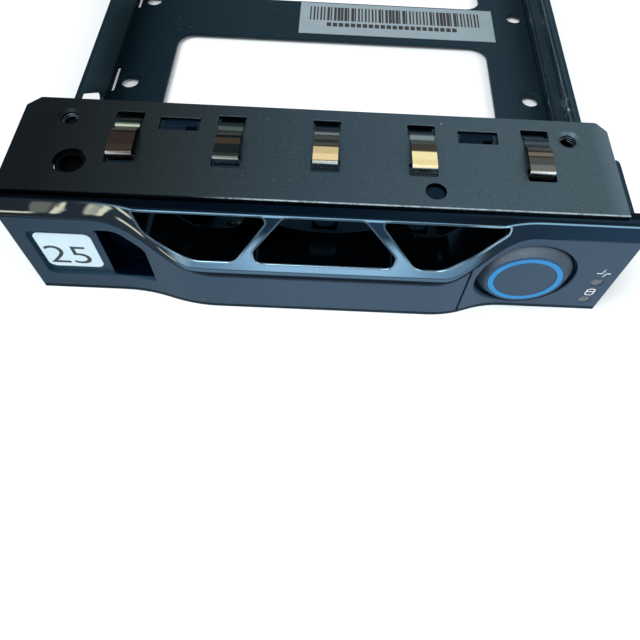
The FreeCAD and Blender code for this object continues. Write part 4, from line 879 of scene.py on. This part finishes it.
def threadRidges():
    look = threadCut
    mesh = bmesh.new()
    for name in look["holes"]:
        centre = Vector(mounts[name]["pos_m"])
        reach = mounts[name]["dims"]["r_mm"] * mm - look["proud"] / 2
        start = centre + Vector((reach, 0, -look["top"]))
        edges = wireProfile(mesh, start, 6, look["crest"])
        drop = (0, 0, -look["pitch"] / look["steps"])
        bmesh.ops.spin(mesh, geom=edges, cent=centre, axis=(0, 0, 1), dvec=drop,
                       angle=2 * math.pi * look["turns"], steps=round(look["steps"] * look["turns"]))
    bmesh.ops.holes_fill(mesh, edges=[edge for edge in mesh.edges if edge.is_boundary], sides=6)
    bmesh.ops.recalc_face_normals(mesh, faces=mesh.faces)
    return newPiece("threadRidges", mesh, "tray", finishes["trim_screws"])


threadRidges()

# pressed rings round the front drive holes and a dimple on the cross bar

pressedLook = {"ring": 2.75 * mm, "wire": 0.2 * mm, "flat": 0.45, "steps": 48,
               "dimple": (-14.7 * mm, 83.75 * mm), "dimpleRing": 1.5 * mm, "dimpleDot": 0.3 * mm}


def pressedRings():
    look = pressedLook
    x, y, top = mounts["drive_holes_front"]["pos_m"]
    dims = mounts["drive_holes_front"]["dims"]
    half = dims["spacing_x_mm"] * mm / 2
    front = y - dims["spacing_y_mm"] * mm / 2
    mesh = bmesh.new()
    for place, reach in (((x - half, front), look["ring"]), ((x + half, front), look["ring"]),
                         (look["dimple"], look["dimpleRing"]), (look["dimple"], look["dimpleDot"])):
        centre = Vector((*place, top))
        edges = wireProfile(mesh, centre + Vector((reach, 0, 0)), 8, look["wire"], look["flat"])
        bmesh.ops.spin(mesh, geom=edges, cent=centre, axis=(0, 0, 1), angle=2 * math.pi, steps=look["steps"],
                       use_merge=True)
    bmesh.ops.recalc_face_normals(mesh, faces=mesh.faces)
    for face in mesh.faces:
        face.smooth = True
    return newPiece("pressedRings", mesh, "tray", finishes["tray_base"])


pressedRings()

# pictures beside the two lights
# each stroke: which picture it is in, whether it closes, and its corners in mm from the picture's middle
pictures = {
    "stroke": 0.13 * mm, "flat": 0.2, "shade": "#eef4f8",
    "left": 49.65 * mm, "pulse": 12.3 * mm, "disk": 6.1 * mm,
    "strokes": [
        ("pulse", False, [(-1.2, 0), (-0.4, 0), (-0.1, 1.3), (0.2, -1.2), (0.5, 0), (1.2, 0)]),
        ("disk", True, [(-0.7, -0.75), (-0.35, -1), (0.35, -1), (0.7, -0.75), (0.7, 0.75), (0.35, 1),
                        (-0.35, 1), (-0.7, 0.75)]),
        ("disk", False, [(-0.7, 0.35), (-0.35, 0.1), (0.35, 0.1), (0.7, 0.35)]),
    ],
}


def lightPictures():
    look = pictures
    runs = []
    for picture, closed, places in look["strokes"]:
        runs.append(([(look["left"] + x * mm, 0, look[picture] + z * mm) for x, z in places], closed))
    mesh = tubeMesh(runs, look["stroke"], 1)
    bmesh.ops.scale(mesh, vec=(1, look["flat"], 1), verts=mesh.verts)
    return newPiece("lightPictures", mesh, "tray", ink("PictureInk", look["shade"]))


lightPictures()
print("small pieces made")

# stage, lights and camera

stageLook = {"floor": "#f4f5f6", "size": 3, "centre": (0, 0.08), "below": 0.02 * mm, "near": 0.2, "far": 0.5}


def stageFloor():
    mesh = bmesh.new()
    bmesh.ops.create_grid(mesh, x_segments=1, y_segments=1, size=stageLook["size"] / 2)
    data = bpy.data.meshes.new("stageFloor")
    mesh.to_mesh(data)
    mesh.free()
    floor = bpy.data.objects.new("stageFloor", data)
    bpy.context.scene.collection.objects.link(floor)
    floor.location = (*stageLook["centre"], cadBox[0][2] - stageLook["below"])
    finish = Finish("StageFloor", Roughness=0.9, Specular_IOR_Level=0.0)
    finish.set("Base Color", paint(stageLook["floor"]))
    # far from the part the floor fades into the white background
    reach = (finish.axis("X") ** 2 + finish.axis("Y") ** 2) ** 0.5
    faded = finish.between(reach, stageLook["near"], stageLook["far"]) * finish.seenRay()
    glow = finish.node("ShaderNodeEmission", None, {"Color": (1, 1, 1, 1), "Strength": 1}, output="Emission")
    lit = Value(finish, finish.shader.outputs["BSDF"])
    blend = finish.node("ShaderNodeMixShader", None, {0: faded, 1: lit, 2: glow})
    finish.feed(finish.tree.nodes["Material Output"].inputs["Surface"], blend)
    data.materials.append(finish.material)


stageFloor()

aimPoint = Vector((0, 0.03, 0.01))
lights = {
    "key": {"at": (-0.25, -0.25, 0.75), "size": (0.5, 0.5), "power": 6.0, "tint": (0.93, 0.97, 1.0)},
    "fill": {"at": (0.6, -0.3, 0.5), "size": (0.5, 0.5), "power": 3.0, "tint": (0.9, 0.96, 1.0)},
}


def areaLight(name, look):
    lamp = bpy.data.lights.new(name, "AREA")
    lamp.shape = "RECTANGLE"
    lamp.size, lamp.size_y = look["size"]
    lamp.energy = look["power"]
    lamp.color = look["tint"]
    holder = bpy.data.objects.new(name, lamp)
    holder.location = look["at"]
    holder.rotation_euler = (aimPoint - holder.location).to_track_quat("-Z", "Y").to_euler()
    bpy.context.scene.collection.objects.link(holder)


for name, look in lights.items():
    areaLight(name, look)

# how bright the world is where it is seen, and how bright it lights the part
worldLook = {"seen": 1.0, "lit": 0.45}


def makeWorld():
    world = bpy.data.worlds.new("Studio")
    world.use_nodes = True
    graph = Graph(world.node_tree)
    ground = graph.tree.nodes["Background"]
    graph.feed(ground.inputs["Color"], (1, 1, 1, 1))
    level = worldLook["lit"] + graph.seenRay() * (worldLook["seen"] - worldLook["lit"])
    graph.feed(ground.inputs["Strength"], level)
    bpy.context.scene.world = world


makeWorld()

# where the camera stands, how far it looks below level, and its turn and roll in degrees
cameraLook = {"at": (0.908 * mm, -59.314 * mm, 100.157 * mm), "below": 58.653, "turn": 1.693, "roll": 3.906,
              "lens": 34.04, "shift": (-0.0242, -0.0461)}


def makeCamera():
    look = cameraLook
    lens = bpy.data.cameras.new("caddyCamera")
    lens.lens = look["lens"]
    lens.sensor_width = 36
    lens.shift_x, lens.shift_y = look["shift"]
    lens.clip_start = 0.005
    camera = bpy.data.objects.new("caddyCamera", lens)
    turn = Matrix.Rotation(math.radians(-look["turn"]), 4, "Z")
    tilt = Matrix.Rotation(math.radians(90 - look["below"]), 4, "X")
    roll = Matrix.Rotation(math.radians(look["roll"]), 4, "Z")
    camera.matrix_world = Matrix.Translation(look["at"]) @ turn @ tilt @ roll
    bpy.context.scene.collection.objects.link(camera)
    bpy.context.scene.camera = camera


makeCamera()
bpy.context.scene.view_settings.view_transform = "Standard"
print("stage, lights and camera made")
